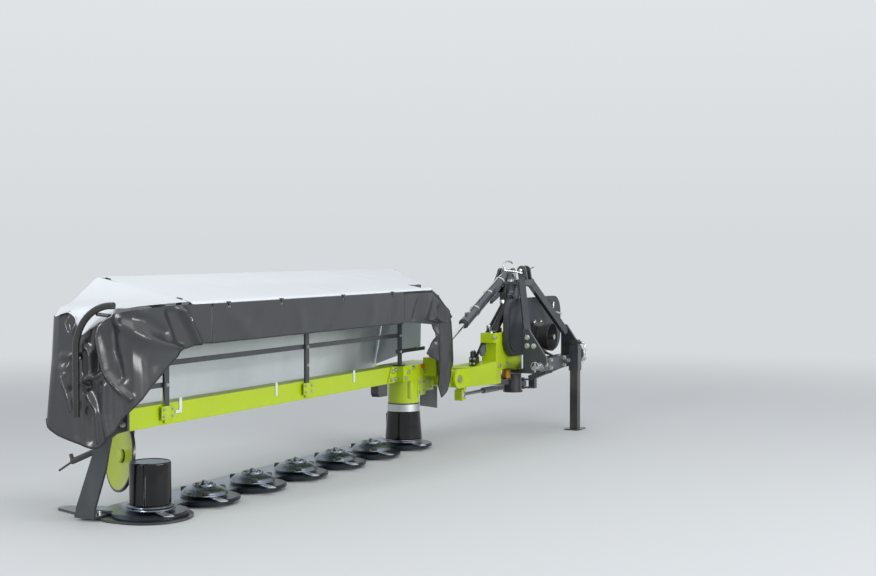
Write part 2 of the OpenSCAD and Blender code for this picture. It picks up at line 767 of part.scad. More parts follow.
module skids() {
    color("#55595d") at_frame()
        for (i = [0:disc_count - 2])
            translate([inner_disc_x + i * disc_pitch, 0, 0]) {
                linear_extrude(skid_t) link_2d([0, 20], 128, [0, -170], 62);
            }
    // Outer shoe with its long tail
    color("#2c2f33") at_frame() {
        linear_extrude(skid_t) {
            translate([outer_disc_x, 0]) circle(r = 196, $fn = 72);
            link_2d([outer_disc_x + 20, -60], 176, [outer_disc_x + 30, shoe_tail_y], shoe_tail_r);
        }
    }
}

module outer_strut() {
    strut_t = 14;
    color("#55606a") at_frame() {
        plate_yz([[-262, skid_t], [-150, skid_t], [-146, 60], [-83, 240], [-62, 340], [-50, 385], [-24, 404], [45, 424],
            [45, beam_top - 4], [-45, beam_top - 4], [-122, 428], [-151, 316], [-251, 62]], beam_end_x, strut_t);
        translate([outer_disc_x + 116, -262, skid_t]) cube([beam_end_x + strut_t - outer_disc_x - 116, 112, 10]);
    }
}

module swath_axis() {
    translate(swath_c) rotate([0, 0, -swath_toe]) rotate([0, 90 - swath_tilt, 0]) children();
}

module swath_carrier() {
    color("#3c4148") at_frame() {
        // Bearing stub and flat hanger behind the swath disc
        swath_axis() {
            translate([0, 0, -44]) cylinder(r = 20, h = 43);
            translate([0, 0, -44]) cylinder(r = swath_shaft_r, h = 70);
            translate([0, 0, 16]) cylinder(r = 19, h = 8);
            translate([-228, -46, -44]) cube([240, 44, 12]);
        }
        translate([3256, -306, 440]) cube([40, 306 - beam_front, 26]);
        // Catch lever for the curtain, behind the outer strut
        rod([beam_end_x - 14, -150, 322], [beam_end_x - 14, -296, 261], 14);
        rod([beam_end_x - 14, -290, 264], [beam_end_x - 14, -373, 214], 5);
        rod([beam_end_x - 14, -290, 250], [beam_end_x - 14, -304, 295], 9);
    }
}

// Guard frame

module guard_posts() {
    rail_z = 702;
    short_z = 604;
    color("#3a424b") at_frame() {
        for (i = [0:2]) {
            x = post_x[i];
            foot = i < 2 ? beam_z + 10 : beam_top;
            translate([x - post_w / 2, beam_front, foot]) cube([post_w, post_t, cover_arm_z - foot]);
            if (i < 2)
                translate([x - 46, beam_front + post_t, beam_z + 26]) cube([92, 6, 62]);
            else
                translate([x - 30, beam_front - 24, beam_top]) cube([60, 50, 8]);
        }
        // Long rail behind the band and two short ones
        translate([post_x[2] + post_w / 2 - 60, beam_front - 12, rail_z - 12])
            cube([post_x[0] - post_x[2] + 10, 12, 24]);
        translate([post_x[0] - 20, beam_front - 12, short_z - 11]) cube([165, 12, 22]);
        translate([post_x[2] - 345, beam_front - 12, short_z - 11]) cube([365, 12, 22]);
    }
}
cover_arm_z = 946;

module cover_tubes() {
    bar = 26;
    color("#2c3136") at_frame() {
        rod([tube_bend[0][0], front_tube_y, front_tube_z], [cover_x1 - 15, front_tube_y, front_tube_z], tube_r);
        for (i = [0:2]) {
            rod([tube_bend[i][0], front_tube_y, tube_bend[i][1]],
                [tube_bend[i + 1][0], front_tube_y, tube_bend[i + 1][1]], tube_r);
            translate([tube_bend[i][0], front_tube_y, tube_bend[i][1]]) sphere(r = tube_r + 3);
        }
        rod([cover_x0, ridge_tube_y, ridge_tube_z], [cover_x1 - 15, ridge_tube_y, ridge_tube_z], tube_r);
        // Eyes for the rod of the front band
        for (x = band_eyes)
            difference() {
                translate([x - 8, front_tube_y + tube_r - 3, band_rod_z - 10])
                    cube([16, band_rod_y + 10 - front_tube_y - tube_r + 3, 20]);
                disc_x(x - 9, band_rod_y, band_rod_z, band_rod_r + 0.3, 18);
            }
        // Arms from each post to both tubes
        for (x = post_x) {
            square_bar([x, beam_front + post_t / 2 + 10, cover_arm_z], [x, front_tube_y - 3, front_tube_z - 12], bar);
            square_bar([x, beam_front + post_t / 2 + 10, cover_arm_z], [x, ridge_tube_y + 3, ridge_tube_z - 14], bar);
            translate([x - 24, beam_front - 6, cover_arm_z - 24]) cube([48, 36, 40]);
        }
        // Fixed knuckles of the outer wing's hinge
        for (y = wing_lug_y) {
            cz = cover_z(y);
            square_bar([post_x[0], y - 6, cz - 42], [cover_x1 - 22, y - 6, cz - 42], 18);
            plate_xz([[cover_x1 - 34, cz - 51], [cover_x1 - 20, cz - 51], [wing_hinge_x + 6, cz], [wing_hinge_x - 6, cz + 2]],
                y - 12, 12);
            wing_axis(y - 6) {
                cylinder(r = 7, h = 12, center = true);
                color("#a9acb0") translate([0, 0, -22]) cylinder(r = wing_hinge_r, h = 20);
            }
        }
    }
}

// A place on the wing's hinge line, which follows the slope of the cover
module wing_axis(y) {
    translate([wing_hinge_x, y, cover_z(y) + sheet_t / 2]) rotate([90 - cover_slope, 0, 0]) children();
}

// Cover sheets

module top_cloth() {
    outline = [[front_edge_y, cover_z(front_edge_y)], [ridge_edge_y, cover_z(ridge_edge_y)],
        [ridge_edge_y, cover_z(ridge_edge_y) + sheet_t], [front_edge_y, cover_z(front_edge_y) + sheet_t]];
    color("#d8dadc") at_frame()
        difference() {
            plate_yz(outline, cover_x0, cover_x1 - 20 - cover_x0);
            // Slanting inner edge, and the slot through which the lift cylinder swings
            translate([0, 0, 900]) linear_extrude(300) {
                polygon([[cover_x0 - 1, 400], [cover_x0 - 1, ridge_edge_y - 1], [cover_x0 + 8, ridge_edge_y - 1],
                    [tube_bend[0][0] - 14, front_edge_y + 1], [tube_bend[0][0] - 14, 400]]);
                translate([940, cover_slot_y[0]]) square([cover_slot_x - 940, cover_slot_y[1] - cover_slot_y[0]]);
            }
        }
}

module rear_cloth() {
    top_z = cover_z(ridge_edge_y) + sheet_t;
    outline = [[ridge_edge_y - seat_clear, top_z], [rear_hem_y, rear_hem_z], [rear_hem_y - sheet_t, rear_hem_z],
        [ridge_edge_y - seat_clear - sheet_t, top_z]];
    color("#d8dadc") at_frame()
        plate_yz(outline, cover_x0, cover_x1 - 20 - cover_x0);
}

module inner_curtain() {
    color("#3d3f42") at_frame() {
        plate_xz([[1085, 956], [990, 915], [874, 836], [820, 792], [808, 640], [806, 511], [846, 420], [891, 346],
            [968, 317], [1010, 391], [1026, 548], [1170, 600], [1090, 648], [1060, 700], [1100, band_hem_z],
            [band_x0 - 8, band_hem_z], [band_x0 - 8, 962], [1100, 962]], band_y, sheet_t);
        // Straps to the front tube
        for (x = [1110, 1400])
            translate([x, front_tube_y + tube_r, 955]) cube([24, band_y - front_tube_y - tube_r, 22]);
    }
}

module front_band() {
    color("#3d3f42") at_frame()
        difference() {
            translate([band_x0, band_y, band_hem_z])
                cube([band_x1 - band_x0, sheet_t, band_rod_z - band_hem_z]);
            for (x = band_eyes)
                translate([x - 13, band_y - 1, band_rod_z - 22]) cube([26, sheet_t + 2, 40]);
        }
    // Rod in the hem, bare where it passes through the eyes
    color("#2c3136") at_frame()
        disc_x(band_x0 + 10, band_rod_y, band_rod_z, band_rod_r, band_x1 - band_x0 - 20);
}

// Outer wing

module wing_frame() {
    front_arm = [[wing_x0 + 22, 124, 955], [3866, 100, 938], [hoop_x, 70, 950]];
    rear_arm = [[wing_x0 + 22, -276, 1010], [3866, -80, 782], [hoop_x, hoop_top_y - hoop_bend_r, 756]];
    color("#1e2022") at_frame() {
        // Hoop: upright leg, bend and top end
        rod([hoop_x, hoop_top_y - hoop_bend_r, hoop_low_z], [hoop_x, hoop_top_y - hoop_bend_r, hoop_bend_z], hoop_r);
        translate([hoop_x, hoop_top_y, hoop_bend_z]) rotate([90, 0, 90])
            rotate([0, 0, 90]) rotate_extrude(angle = 90) translate([hoop_bend_r, 0]) circle(r = hoop_r);
        rod([hoop_x, hoop_top_y, hoop_bend_z + hoop_bend_r], [hoop_x, hoop_top_y + 12, hoop_bend_z + hoop_bend_r], hoop_r);
        // Two arms from the hinge line to the hoop
        for (a = [front_arm, rear_arm]) {
            rod(a[0], a[1], 9);
            rod(a[1] - [3, 0, 0], a[2], 8);
        }
        // Moving knuckles of the hinge with their plates
        for (i = [0, 1]) {
            y = wing_lug_y[i] + 8;
            cz = cover_z(y);
            a = [front_arm, rear_arm][i];
            difference() {
                union() {
                    wing_axis(y) cylinder(r = 7, h = 10, center = true);
                    plate_xz([[wing_hinge_x - 6, cz], [wing_hinge_x + 6, cz + 3], [wing_x0 + 14, cz - 16],
                        [wing_x0 + 30, cz - 60], [wing_x0 + 12, cz - 60]], y - 5, 10);
                }
                wing_axis(y) cylinder(r = wing_hinge_r + pin_clear, h = 16, center = true);
            }
            square_bar([wing_x0 + 21, y, cz - 48], a[0] + [0, 0, 2], 18);
        }
    }
}

module wing_top() {
    color("#d8dadc") at_frame()
        difference() {
            union() {
                hull() {
                    plate_yz(wing_slope(front_edge_y, cover_z(front_edge_y), ridge_edge_y, cover_z(ridge_edge_y)), wing_x0, 1);
                    plate_yz(wing_slope(front_edge_y, cover_z(front_edge_y) - 4, -300, cover_z(ridge_edge_y) - 125), 3667, 1);
                }
                hull() {
                    plate_yz(wing_slope(front_edge_y, cover_z(front_edge_y) - 4, -300, cover_z(ridge_edge_y) - 125), 3667, 1);
                    plate_yz(wing_slope(front_edge_y, cover_z(front_edge_y) - 10, -196, cover_z(ridge_edge_y) - 153),
                        wing_side_x - 30, 1);
                }
            }
            for (y = wing_lug_y)
                translate([wing_x0 - 30, y + 2.7, 900]) cube([44, 10.6, 300]);
        }
}

// Cross section of the wing's sheet between a front and a rear edge, as [y, z]
function wing_slope(y0, z0, y1, z1) = [[y0, z0], [y1, z1], [y1, z1 + sheet_t], [y0, z0 + sheet_t]];

module wing_curtain() {
    corner_r = 100;
    front_x = wing_side_x - corner_r;
    corner_y = band_y + sheet_t - corner_r;
    color("#3d3f42") at_frame() {
        // Front sheet with its slanting lower edge
        plate_xz([[band_x1 + 10, 972], [front_x, 966], [front_x, 618], [3778, 628], [3653, 713], [3537, 780],
            [3434, 801], [band_x1 + 10, band_hem_z - 5]], band_y, sheet_t);
        // Rounded front corner, cut along the same slant
        difference() {
            translate([front_x, corner_y, 480]) rotate_extrude(angle = 90) translate([corner_r - sheet_t, 0]) square([sheet_t, 484]);
            plate_yz([[corner_y - 1, 479], [corner_y - 1, 450], [300, 450], [300, 640], [band_y + sheet_t, 622]], front_x - 1, 120);
        }
        // Side sheet that falls to a point, with holes where the frame passes
        difference() {
            plate_yz([[corner_y, 964], [-196, 930], [-196, 420], [-93, 389], [2, 364], [40, 375], [112, 436],
                [corner_y, 479]], wing_side_x - sheet_t, sheet_t);
            rod([3863, 100, 938], [hoop_x, 70, 950], 8.3);
            rod([3863, -80, 782], [hoop_x, hoop_top_y - hoop_bend_r, 756], 8.3);
        }
        // Rear corner that leans inwards as it rises
        hull() {
            translate([wing_side_x - sheet_t, -198, 420]) cube([sheet_t, 2, 505]);
            rod([3836, -302, 449], [3727, -302, 912], 2);
        }
        plate_xz([[wing_x0 + 6, 1070], [3538, 1040], [3614, 994], [3668, 952], [3727, 905], [3774, 774], [3809, 607],
            [3836, 449], [3694, 425], [wing_x0 + 6, 440]], -307, sheet_t);
    }
}

// Rotors

// One disc: an oval plate with a dome, a hub ring and blade bosses; its blades lie under it
module mower_disc(number, turn) {
    x = outer_disc_x - (number - 1) * disc_pitch;
    blade_pin = 96;
    has_drum = number == 1 || number == disc_count;
    foot_r = number == 1 ? outer_drum_r + 15 : inner_drum_r + 2;
    translate([x, 0, 0]) rotate([0, 0, turn]) {
        color("#1b1d20") {
            translate([0, 0, disc_z]) linear_extrude(disc_t)
                link_2d([-disc_end_offset, 0], disc_end_r, [disc_end_offset, 0], disc_end_r);
            if (has_drum)
                translate([0, 0, dome_z]) rotate_extrude()
                    polygon([[0, 0], [foot_r, 0], [foot_r - 2, 5], [foot_r - 11, 13], [foot_r - 13, foot_h], [0, foot_h]]);
            else {
                translate([0, 0, dome_z]) rotate_extrude()
                    polygon([[0, 0], [107, 0], [104, 6], [92, 17], [76, 26], [58, dome_h], [0, dome_h]]);
                translate([0, 0, dome_z + dome_h]) difference() {
                    cylinder(r = 55, h = 8);
                    translate([0, 0, 3]) cylinder(r = 43, h = 6);
                }
                translate([0, 0, dome_z + dome_h]) cylinder(r = 24, h = 9);
                // Three thick lugs that throw the grass
                for (a = [-20, 105, 217])
                    rotate([0, 0, a]) translate([104, -17, dome_z]) cube([18, 34, 26]);
            }
            // Spindle down to the bearing seat
            translate([0, 0, bed_top + 3.3]) cylinder(r = 40, h = disc_z - bed_top - 3.3);
        }
        color("#c9ccd0") for (s = [0, 180])
            rotate([0, 0, s]) translate([0, 0, blade_z]) {
                linear_extrude(blade_t) {
                    translate([blade_pin, 0]) circle(r = blade_w / 2);
                    polygon([[blade_pin, -blade_w / 2], [blade_tip_r - 12, -blade_w / 2], [blade_tip_r - 3, blade_w / 2 - 8],
                        [blade_tip_r - 10, blade_w / 2], [blade_pin, blade_w / 2]]);
                }
            }
    }
}

module disc_1() { at_frame() mower_disc(1, disc_turn); }
module disc_2() { at_frame() mower_disc(2, disc_turn); }
module disc_3() { at_frame() mower_disc(3, disc_turn); }
module disc_4() { at_frame() mower_disc(4, disc_turn); }
module disc_5() { at_frame() mower_disc(5, disc_turn); }
module disc_6() { at_frame() mower_disc(6, disc_turn); }
module disc_7() { at_frame() mower_disc(7, disc_turn); }

// Outer drum with an upright groove
module drum_outer() {
    drum_h = outer_drum_top - drum_z;
    color("#141517") at_frame() translate([outer_disc_x, 0, drum_z])
        difference() {
            union() {
                cylinder(r = outer_drum_r, h = drum_h - 6, $fn = 72);
                translate([0, 0, drum_h - 6]) cylinder(r = outer_drum_r - 4, h = 6, $fn = 72);
            }
            for (a = [22, 202])
                rotate([0, 0, a]) translate([outer_drum_r - 3, -4, -1]) cube([10, 8, drum_h + 2]);
        }
}

// Inner drum, slightly wider at its foot
module drum_inner() {
    drum_h = inner_drum_top - drum_z;
    color("#141517") at_frame() translate([inner_disc_x, 0, drum_z]) {
        cylinder(r1 = inner_drum_r, r2 = inner_drum_r - 12, h = drum_h, $fn = 72);
        for (a = [50, 170, 290])
            rotate([0, 0, a]) translate([inner_drum_r - 14, -5, 0]) cube([9, 10, drum_h - 14]);
    }
}

// Dished swath disc with a rolled rim
module swath_disc() {
    color("#9db300") at_frame() swath_axis()
        rotate_extrude($fn = 72)
            polygon([[60, 0], [110, 8], [swath_disc_r - 16, 20], [swath_disc_r - 10, 12], [swath_disc_r, 12],
                [swath_disc_r, 24], [swath_disc_r - 12, 25], [110, 13], [60, 5], [32, 5], [32, 14],
                [swath_shaft_r + pin_clear, 14], [swath_shaft_r + pin_clear, 0]]);
}

hitch_crossbar();
hitch_plates();
hitch_mast();
drive_guard();
input_gearbox();
shaft_bell();
stand_leg();
swing_post();
swing_arm();
stay_plate();
relief_spring();
transfer_box();
drive_shaft();
strut_tube();
strut_rod();
lift_barrel();
lift_rod();
hinge_head();
mower_gearbox();
drum_collar();
carrier_beam();
bar_bracket();
cutterbar_bed();
skids();
outer_strut();
swath_carrier();
guard_posts();
cover_tubes();
top_cloth();
rear_cloth();
inner_curtain();
front_band();
wing_frame();
wing_top();
wing_curtain();
disc_1();
disc_2();
disc_3();
disc_4();
disc_5();
disc_6();
disc_7();
drum_outer();
drum_inner();
swath_disc();
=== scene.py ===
import math

import bpy
from mathutils import Matrix, Vector


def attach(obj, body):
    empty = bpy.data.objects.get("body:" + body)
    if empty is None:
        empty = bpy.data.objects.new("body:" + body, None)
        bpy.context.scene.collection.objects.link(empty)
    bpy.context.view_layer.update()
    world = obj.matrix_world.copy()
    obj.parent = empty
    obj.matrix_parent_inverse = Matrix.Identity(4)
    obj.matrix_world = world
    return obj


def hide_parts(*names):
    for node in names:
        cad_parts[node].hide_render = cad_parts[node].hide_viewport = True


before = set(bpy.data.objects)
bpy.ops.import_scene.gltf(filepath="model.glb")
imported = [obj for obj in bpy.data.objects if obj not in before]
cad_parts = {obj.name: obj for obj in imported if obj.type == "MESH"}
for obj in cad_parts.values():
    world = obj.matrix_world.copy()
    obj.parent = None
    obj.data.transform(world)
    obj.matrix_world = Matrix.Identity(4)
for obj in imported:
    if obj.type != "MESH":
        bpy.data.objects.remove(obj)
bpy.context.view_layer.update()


# Camera, floor and lamps
# The camera stands where the photograph was taken: outside the cutterbar, in front of it.
# Wide lamps overhead and in front, a tall one beside the drums and a pale sky give soft light.

hitch_to_middle = 1677.5
discs_to_middle = 89.0


def at(x, y, z):
    """A place in millimetres from the hitch line, the disc line and the ground, as the frame has it."""
    return Vector(((x - hitch_to_middle) / 1000, (y - discs_to_middle) / 1000, z / 1000))


def linear(code):
    """The linear colour of an sRGB hex code."""
    parts = [int(code[i:i + 2], 16) / 255 for i in (1, 3, 5)]
    return tuple(p / 12.92 if p <= 0.04045 else ((p + 0.055) / 1.055) ** 2.4 for p in parts) + (1.0,)


def add_node(tree, kind, settings=None, links=None):
    """One node: lower-case settings belong to the node, the others to its inputs.
    A colour Mix takes its two colours at inputs 6 and 7, and gives its result at output 2."""
    node = tree.nodes.new("ShaderNode" + kind)
    for name, value in (settings or {}).items():
        if isinstance(name, str) and name[0].islower():
            setattr(node, name, value)
        else:
            node.inputs[name].default_value = value
    for name, source in (links or {}).items():
        tree.links.new(source, node.inputs[name])
    return node


bpy.ops.object.select_all(action="DESELECT")
bpy.ops.object.camera_add(location=at(8520, 3991, 1232))
camera = bpy.context.object
camera.data.sensor_width = 36.0
camera.data.lens = 56.68
camera_yaw = 0.4651
camera_pitch = 0.0292
look = Vector((
    -math.cos(camera_yaw) * math.cos(camera_pitch),
    -math.sin(camera_yaw) * math.cos(camera_pitch),
    -math.sin(camera_pitch),
))
camera.rotation_euler = look.to_track_quat("-Z", "Y").to_euler()
bpy.context.scene.camera = camera
bpy.context.scene.view_settings.view_transform = "Standard"

for lamp_name, place, aim, size_x, size_y, power in (
    ("overhead lamp", (4200, 2600, 5600), (2000, 0, 400), 5.0, 3.5, 88),
    ("side lamp", (10500, -1200, 3400), (3700, 0, 700), 1.0, 3.4, 240),
    ("front lamp", (2600, 9500, 2600), (2300, -300, 600), 7.0, 1.8, 520),
):
    bpy.ops.object.light_add(type="AREA", location=at(*place))
    lamp = bpy.context.object
    lamp.name = lamp_name
    lamp.data.shape = "RECTANGLE"
    lamp.data.size = size_x
    lamp.data.size_y = size_y
    lamp.data.energy = power
    lamp.rotation_euler = (at(*aim) - at(*place)).to_track_quat("-Z", "Y").to_euler()

sky = bpy.data.worlds.new("pale sky")
bpy.context.scene.world = sky
sky.use_nodes = True
sky_tree = sky.node_tree
sky_tree.nodes.clear()
rays = add_node(sky_tree, "LightPath")
seen = add_node(sky_tree, "Math", {"operation": "MAXIMUM"}, {
    0: rays.outputs["Is Camera Ray"],
    1: rays.outputs["Is Transmission Ray"],
})
mirrored = add_node(sky_tree, "Math", {"operation": "MAXIMUM"}, {
    0: seen.outputs[0],
    1: rays.outputs["Is Glossy Ray"],
})
direction = add_node(sky_tree, "TexCoord")
height = add_node(sky_tree, "SeparateXYZ", None, {0: direction.outputs["Generated"]})
climb = add_node(sky_tree, "MapRange", {"From Min": -0.05, "From Max": 0.55}, {"Value": height.outputs["Z"]})
shade = add_node(sky_tree, "Mix", {"data_type": "RGBA", 6: linear("#d3d7da"), 7: linear("#f4f7fa")}, {
    0: climb.outputs[0],
})
lit = add_node(sky_tree, "Background", {"Color": linear("#f2f5f8"), "Strength": 0.7})
shown = add_node(sky_tree, "Background", {"Strength": 1.0}, {"Color": shade.outputs[2]})
either = add_node(sky_tree, "MixShader", None, {
    0: mirrored.outputs[0],
    1: lit.outputs[0],
    2: shown.outputs[0],
})
add_node(sky_tree, "OutputWorld", None, {"Surface": either.outputs[0]})

bpy.ops.mesh.primitive_plane_add(size=600, location=(0, 0, 0))
floor = bpy.context.object
floor.name = "floor"
floor_paint = bpy.data.materials.new("pale floor")
floor_paint.use_nodes = True
floor_paint.node_tree.nodes["Principled BSDF"].inputs["Base Color"].default_value = linear("#c9ccce")
floor_paint.node_tree.nodes["Principled BSDF"].inputs["Roughness"].default_value = 0.75
# Far from the object the floor runs into the pale backdrop
floor_tree = floor_paint.node_tree
spot = add_node(floor_tree, "TexCoord")
reach = add_node(floor_tree, "VectorMath", {"operation": "LENGTH"}, {0: spot.outputs["Object"]})
fade = add_node(floor_tree, "MapRange", {
    "From Min": 3.4,
    "From Max": 9.5,
    "interpolation_type": "SMOOTHSTEP",
}, {"Value": reach.outputs["Value"]})
haze = add_node(floor_tree, "Emission", {"Color": linear("#d6dadd"), "Strength": 1.0})
blend = add_node(floor_tree, "MixShader", None, {
    0: fade.outputs[0],
    1: floor_tree.nodes["Principled BSDF"].outputs[0],
    2: haze.outputs[0],
})
floor_tree.links.new(blend.outputs[0], floor_tree.nodes["Material Output"].inputs["Surface"])
floor.data.materials.append(floor_paint)


# Headstock: crossbar, side plates and mast
# Welded steel in slate enamel. The side plates carry the lower link pins, the two legs of the
# mast lean in to the top link, and the kingpin of the swing frame runs through both ears.

def new_finish(name, colour, roughness, metallic=0.0):
    """A material with its Principled shader set to one colour."""
    material = bpy.data.materials.new(name)
    material.use_nodes = True
    shader = material.node_tree.nodes["Principled BSDF"]
    shader.inputs["Base Color"].default_value = linear(colour)
    shader.inputs["Roughness"].default_value = roughness
    shader.inputs["Metallic"].default_value = metallic
    return material, material.node_tree, shader


def enamel(name, colour, dusty, roughness, dust_share):
    """Sprayed and stoved enamel: an even gloss with faint orange peel and a film of field dust."""
    material, tree, shader = new_finish(name, colour, roughness)
    place = add_node(tree, "TexCoord").outputs["Object"]
    # Patches of dust about 300 mm across, thicker near the ground
    patches = add_node(tree, "TexNoise", {"Scale": 3.2, "Detail": 5.0, "Roughness": 0.62}, {"Vector": place})
    rise = add_node(tree, "SeparateXYZ", None, {0: place})
    low = add_node(tree, "MapRange", {"From Min": 0.9, "From Max": 0.1, "To Min": 0.35, "To Max": 1.0}, {
        "Value": rise.outputs["Z"],
    })
    film = add_node(tree, "MapRange", {"From Min": 0.42, "From Max": 0.78, "To Max": dust_share}, {
        "Value": patches.outputs["Fac"],
    })
    share = add_node(tree, "Math", {"operation": "MULTIPLY"}, {0: film.outputs[0], 1: low.outputs[0]})
    mixed = add_node(tree, "Mix", {"data_type": "RGBA", 6: linear(colour), 7: linear(dusty)}, {
        0: share.outputs[0],
    })
    tree.links.new(mixed.outputs[2], shader.inputs["Base Color"])
    dull = add_node(tree, "MapRange", {"To Min": roughness, "To Max": roughness + 0.3}, {
        "Value": share.outputs[0],
    })
    tree.links.new(dull.outputs[0], shader.inputs["Roughness"])
    # Orange peel is about 1 mm across; it is drawn at 5 mm so that it shows
    peel = add_node(tree, "TexNoise", {"Scale": 200.0, "Detail": 1.0}, {"Vector": place})
    round_edge = add_node(tree, "Bevel", {"samples": 4, "Radius": 0.0025})
    bump = add_node(tree, "Bump", {"Strength": 0.12, "Distance": 0.0006}, {
        "Height": peel.outputs["Fac"],
        "Normal": round_edge.outputs[0],
    })
    tree.links.new(bump.outputs[0], shader.inputs["Normal"])
    shader.inputs["Coat Weight"].default_value = 0.35
    shader.inputs["Coat Roughness"].default_value = 0.12
    return material


def bare_metal(name, colour, roughness, grain):
    """Bright metal with fine marks from rolling, drawing or turning."""
    material, tree, shader = new_finish(name, colour, roughness, 1.0)
    place = add_node(tree, "TexCoord").outputs["Object"]
    marks = add_node(tree, "TexNoise", {"Scale": grain, "Detail": 4.0, "Roughness": 0.6}, {"Vector": place})
    spread = add_node(tree, "MapRange", {"To Min": roughness * 0.75, "To Max": roughness * 1.4}, {
        "Value": marks.outputs["Fac"],
    })
    tree.links.new(spread.outputs[0], shader.inputs["Roughness"])
    bump = add_node(tree, "Bump", {"Strength": 0.15, "Distance": 0.0004}, {"Height": marks.outputs["Fac"]})
    tree.links.new(bump.outputs[0], shader.inputs["Normal"])
    return material


def dress(name, *finishes):
    """Gives a solid of the source its finishes."""
    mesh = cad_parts[name].data
    mesh.materials.clear()
    for finish in finishes:
        mesh.materials.append(finish)


def paint_where(name, index, test):
    """Gives the faces whose centre passes the test, in metres, the finish with that index."""
    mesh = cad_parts[name].data
    for face in mesh.polygons:
        if test(face.center):
            face.material_index = index


slate_enamel = enamel("slate enamel, sprayed", "#2b3036", "#716e67", 0.34, 0.3)
turned_steel = bare_metal("turned steel pin, oiled", "#b9bcbf", 0.28, 90.0)
dress("hitch_crossbar", slate_enamel)
dress("hitch_plates", slate_enamel, turned_steel)
plate_face = 341.5
pin_start = (plate_face + 1) / 1000
paint_where("hitch_plates", 1, lambda c: abs(c.x - at(0, 0, 0).x) > pin_start)
dress("hitch_mast", slate_enamel, turned_steel)
kingpin = at(0, 280, 1005.5)
paint_where("hitch_mast", 1, lambda c: (c.xy - kingpin.xy).length < 0.0395 and c.z > kingpin.z)


def pick(piece, test):
    """Selects the faces that pass the test, and leaves the piece open in edit mode."""
    bpy.context.view_layer.objects.active = piece
    if bpy.context.object.mode != "EDIT":
        bpy.ops.object.mode_set(mode="EDIT")
    bpy.ops.mesh.select_mode(type="FACE")
    bpy.ops.mesh.select_all(action="DESELECT")
    bpy.ops.object.mode_set(mode="OBJECT")
    for face in piece.data.polygons:
        face.select = test(face)
    bpy.ops.object.mode_set(mode="EDIT")


def close_edit():
    """Leaves edit mode."""
    bpy.ops.object.mode_set(mode="OBJECT")


def settle(piece):
    """Puts the place, turn and size of a piece into its mesh."""
    bpy.ops.object.select_all(action="DESELECT")
    piece.select_set(True)
    bpy.context.view_layer.objects.active = piece
    bpy.ops.object.transform_apply(location=True, rotation=True, scale=True)
    return piece


def round_off(piece, width, segments=2):
    """Rounds the sharp edges of a piece with a bevel that is applied at once."""
    bpy.ops.object.select_all(action="DESELECT")
    piece.select_set(True)
    bpy.context.view_layer.objects.active = piece
    bevel = piece.modifiers.new("rounded edges", "BEVEL")
    bevel.width = width
    bevel.segments = segments
    bevel.limit_method = "ANGLE"
    bevel.angle_limit = math.radians(35)
    bpy.ops.object.modifier_apply(modifier=bevel.name)
    bpy.ops.object.shade_smooth_by_angle(angle=math.radians(32))
    return piece


def gather(name, pieces, body, finish):
    """Joins pieces on one body into one, names it and lets it ride."""
    bpy.ops.object.select_all(action="DESELECT")
    for piece in pieces:
        piece.select_set(True)
    bpy.context.view_layer.objects.active = pieces[0]
    if len(pieces) > 1:
        bpy.ops.object.join()
    whole = bpy.context.view_layer.objects.active
    whole.name = name
    settle(whole)
    whole.data.materials.clear()
    whole.data.materials.append(finish)
    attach(whole, body)
    return whole


def point_along(piece, place, along):
    """Moves a piece that was made upright at the origin to a place, with its top towards a direction."""
    turn = Vector((0, 0, 1)).rotation_difference(Vector(along).normalized())
    piece.data.transform(Matrix.Translation(place) @ turn.to_matrix().to_4x4())
    return piece


def hex_bolt(width, place, along):
    """A hexagon head with its washer and the end of its thread, seated at a place. The width
    across the flats is in metres."""
    bpy.ops.object.select_all(action="DESELECT")
    bpy.ops.mesh.primitive_cylinder_add(vertices=20, radius=width * 0.68, depth=width * 0.12)
    washer = bpy.context.object
    washer.location.z = width * 0.06
    bpy.ops.mesh.primitive_cylinder_add(vertices=6, radius=width * 0.577, depth=width * 0.42)
    head = bpy.context.object
    head.location.z = width * 0.33
    pick(head, lambda face: face.normal.z > 0.9)
    bpy.ops.mesh.inset(thickness=width * 0.07, depth=width * 0.05)
    bpy.ops.mesh.inset(thickness=width * 0.2, depth=0)
    bpy.ops.mesh.extrude_region_move(TRANSFORM_OT_translate={"value": (0, 0, width * 0.12)})
    close_edit()
    bpy.ops.object.select_all(action="DESELECT")
    washer.select_set(True)
    head.select_set(True)
    bpy.context.view_layer.objects.active = washer
    bpy.ops.object.join()
    bpy.ops.object.transform_apply(location=True, rotation=True, scale=True)
    bpy.ops.object.shade_smooth_by_angle(angle=math.radians(30))
    return point_along(washer, place, along)


def twin_of(piece, shift):
    """A copy of a piece with its own mesh, shifted."""
    twin = piece.copy()
    twin.data = piece.data.copy()
    bpy.context.collection.objects.link(twin)
    twin.data.transform(Matrix.Translation(shift))
    return twin


def bolt_set(name, body, width, along, places):
    """Bolts of one size on one face: one is modelled, the others are its copies."""
    first = hex_bolt(width / 1000, at(*places[0]), along)
    row = [first] + [twin_of(first, at(*place) - at(*places[0])) for place in places[1:]]
    return gather(name, row, body, zinc)


def bent_rod(name, points, radius, sides=3):
    """A round rod or wire bent through points, made as a curve and turned into a mesh."""
    bpy.ops.object.select_all(action="DESELECT")
    line = bpy.data.curves.new(name, "CURVE")
    line.dimensions = "3D"
    line.bevel_depth = radius
    line.bevel_resolution = sides
    line.use_fill_caps = True
    path = line.splines.new("POLY")
    path.points.add(len(points) - 1)
    for spot, place in zip(path.points, points):
        spot.co = (*place, 1.0)
    path.use_smooth = True
    piece = bpy.data.objects.new(name, line)
    bpy.context.collection.objects.link(piece)
    piece.select_set(True)
    bpy.context.view_layer.objects.active = piece
    bpy.ops.object.convert(target="MESH")
    piece = bpy.context.object
    bpy.ops.object.shade_smooth_by_angle(angle=math.radians(40))
    return piece


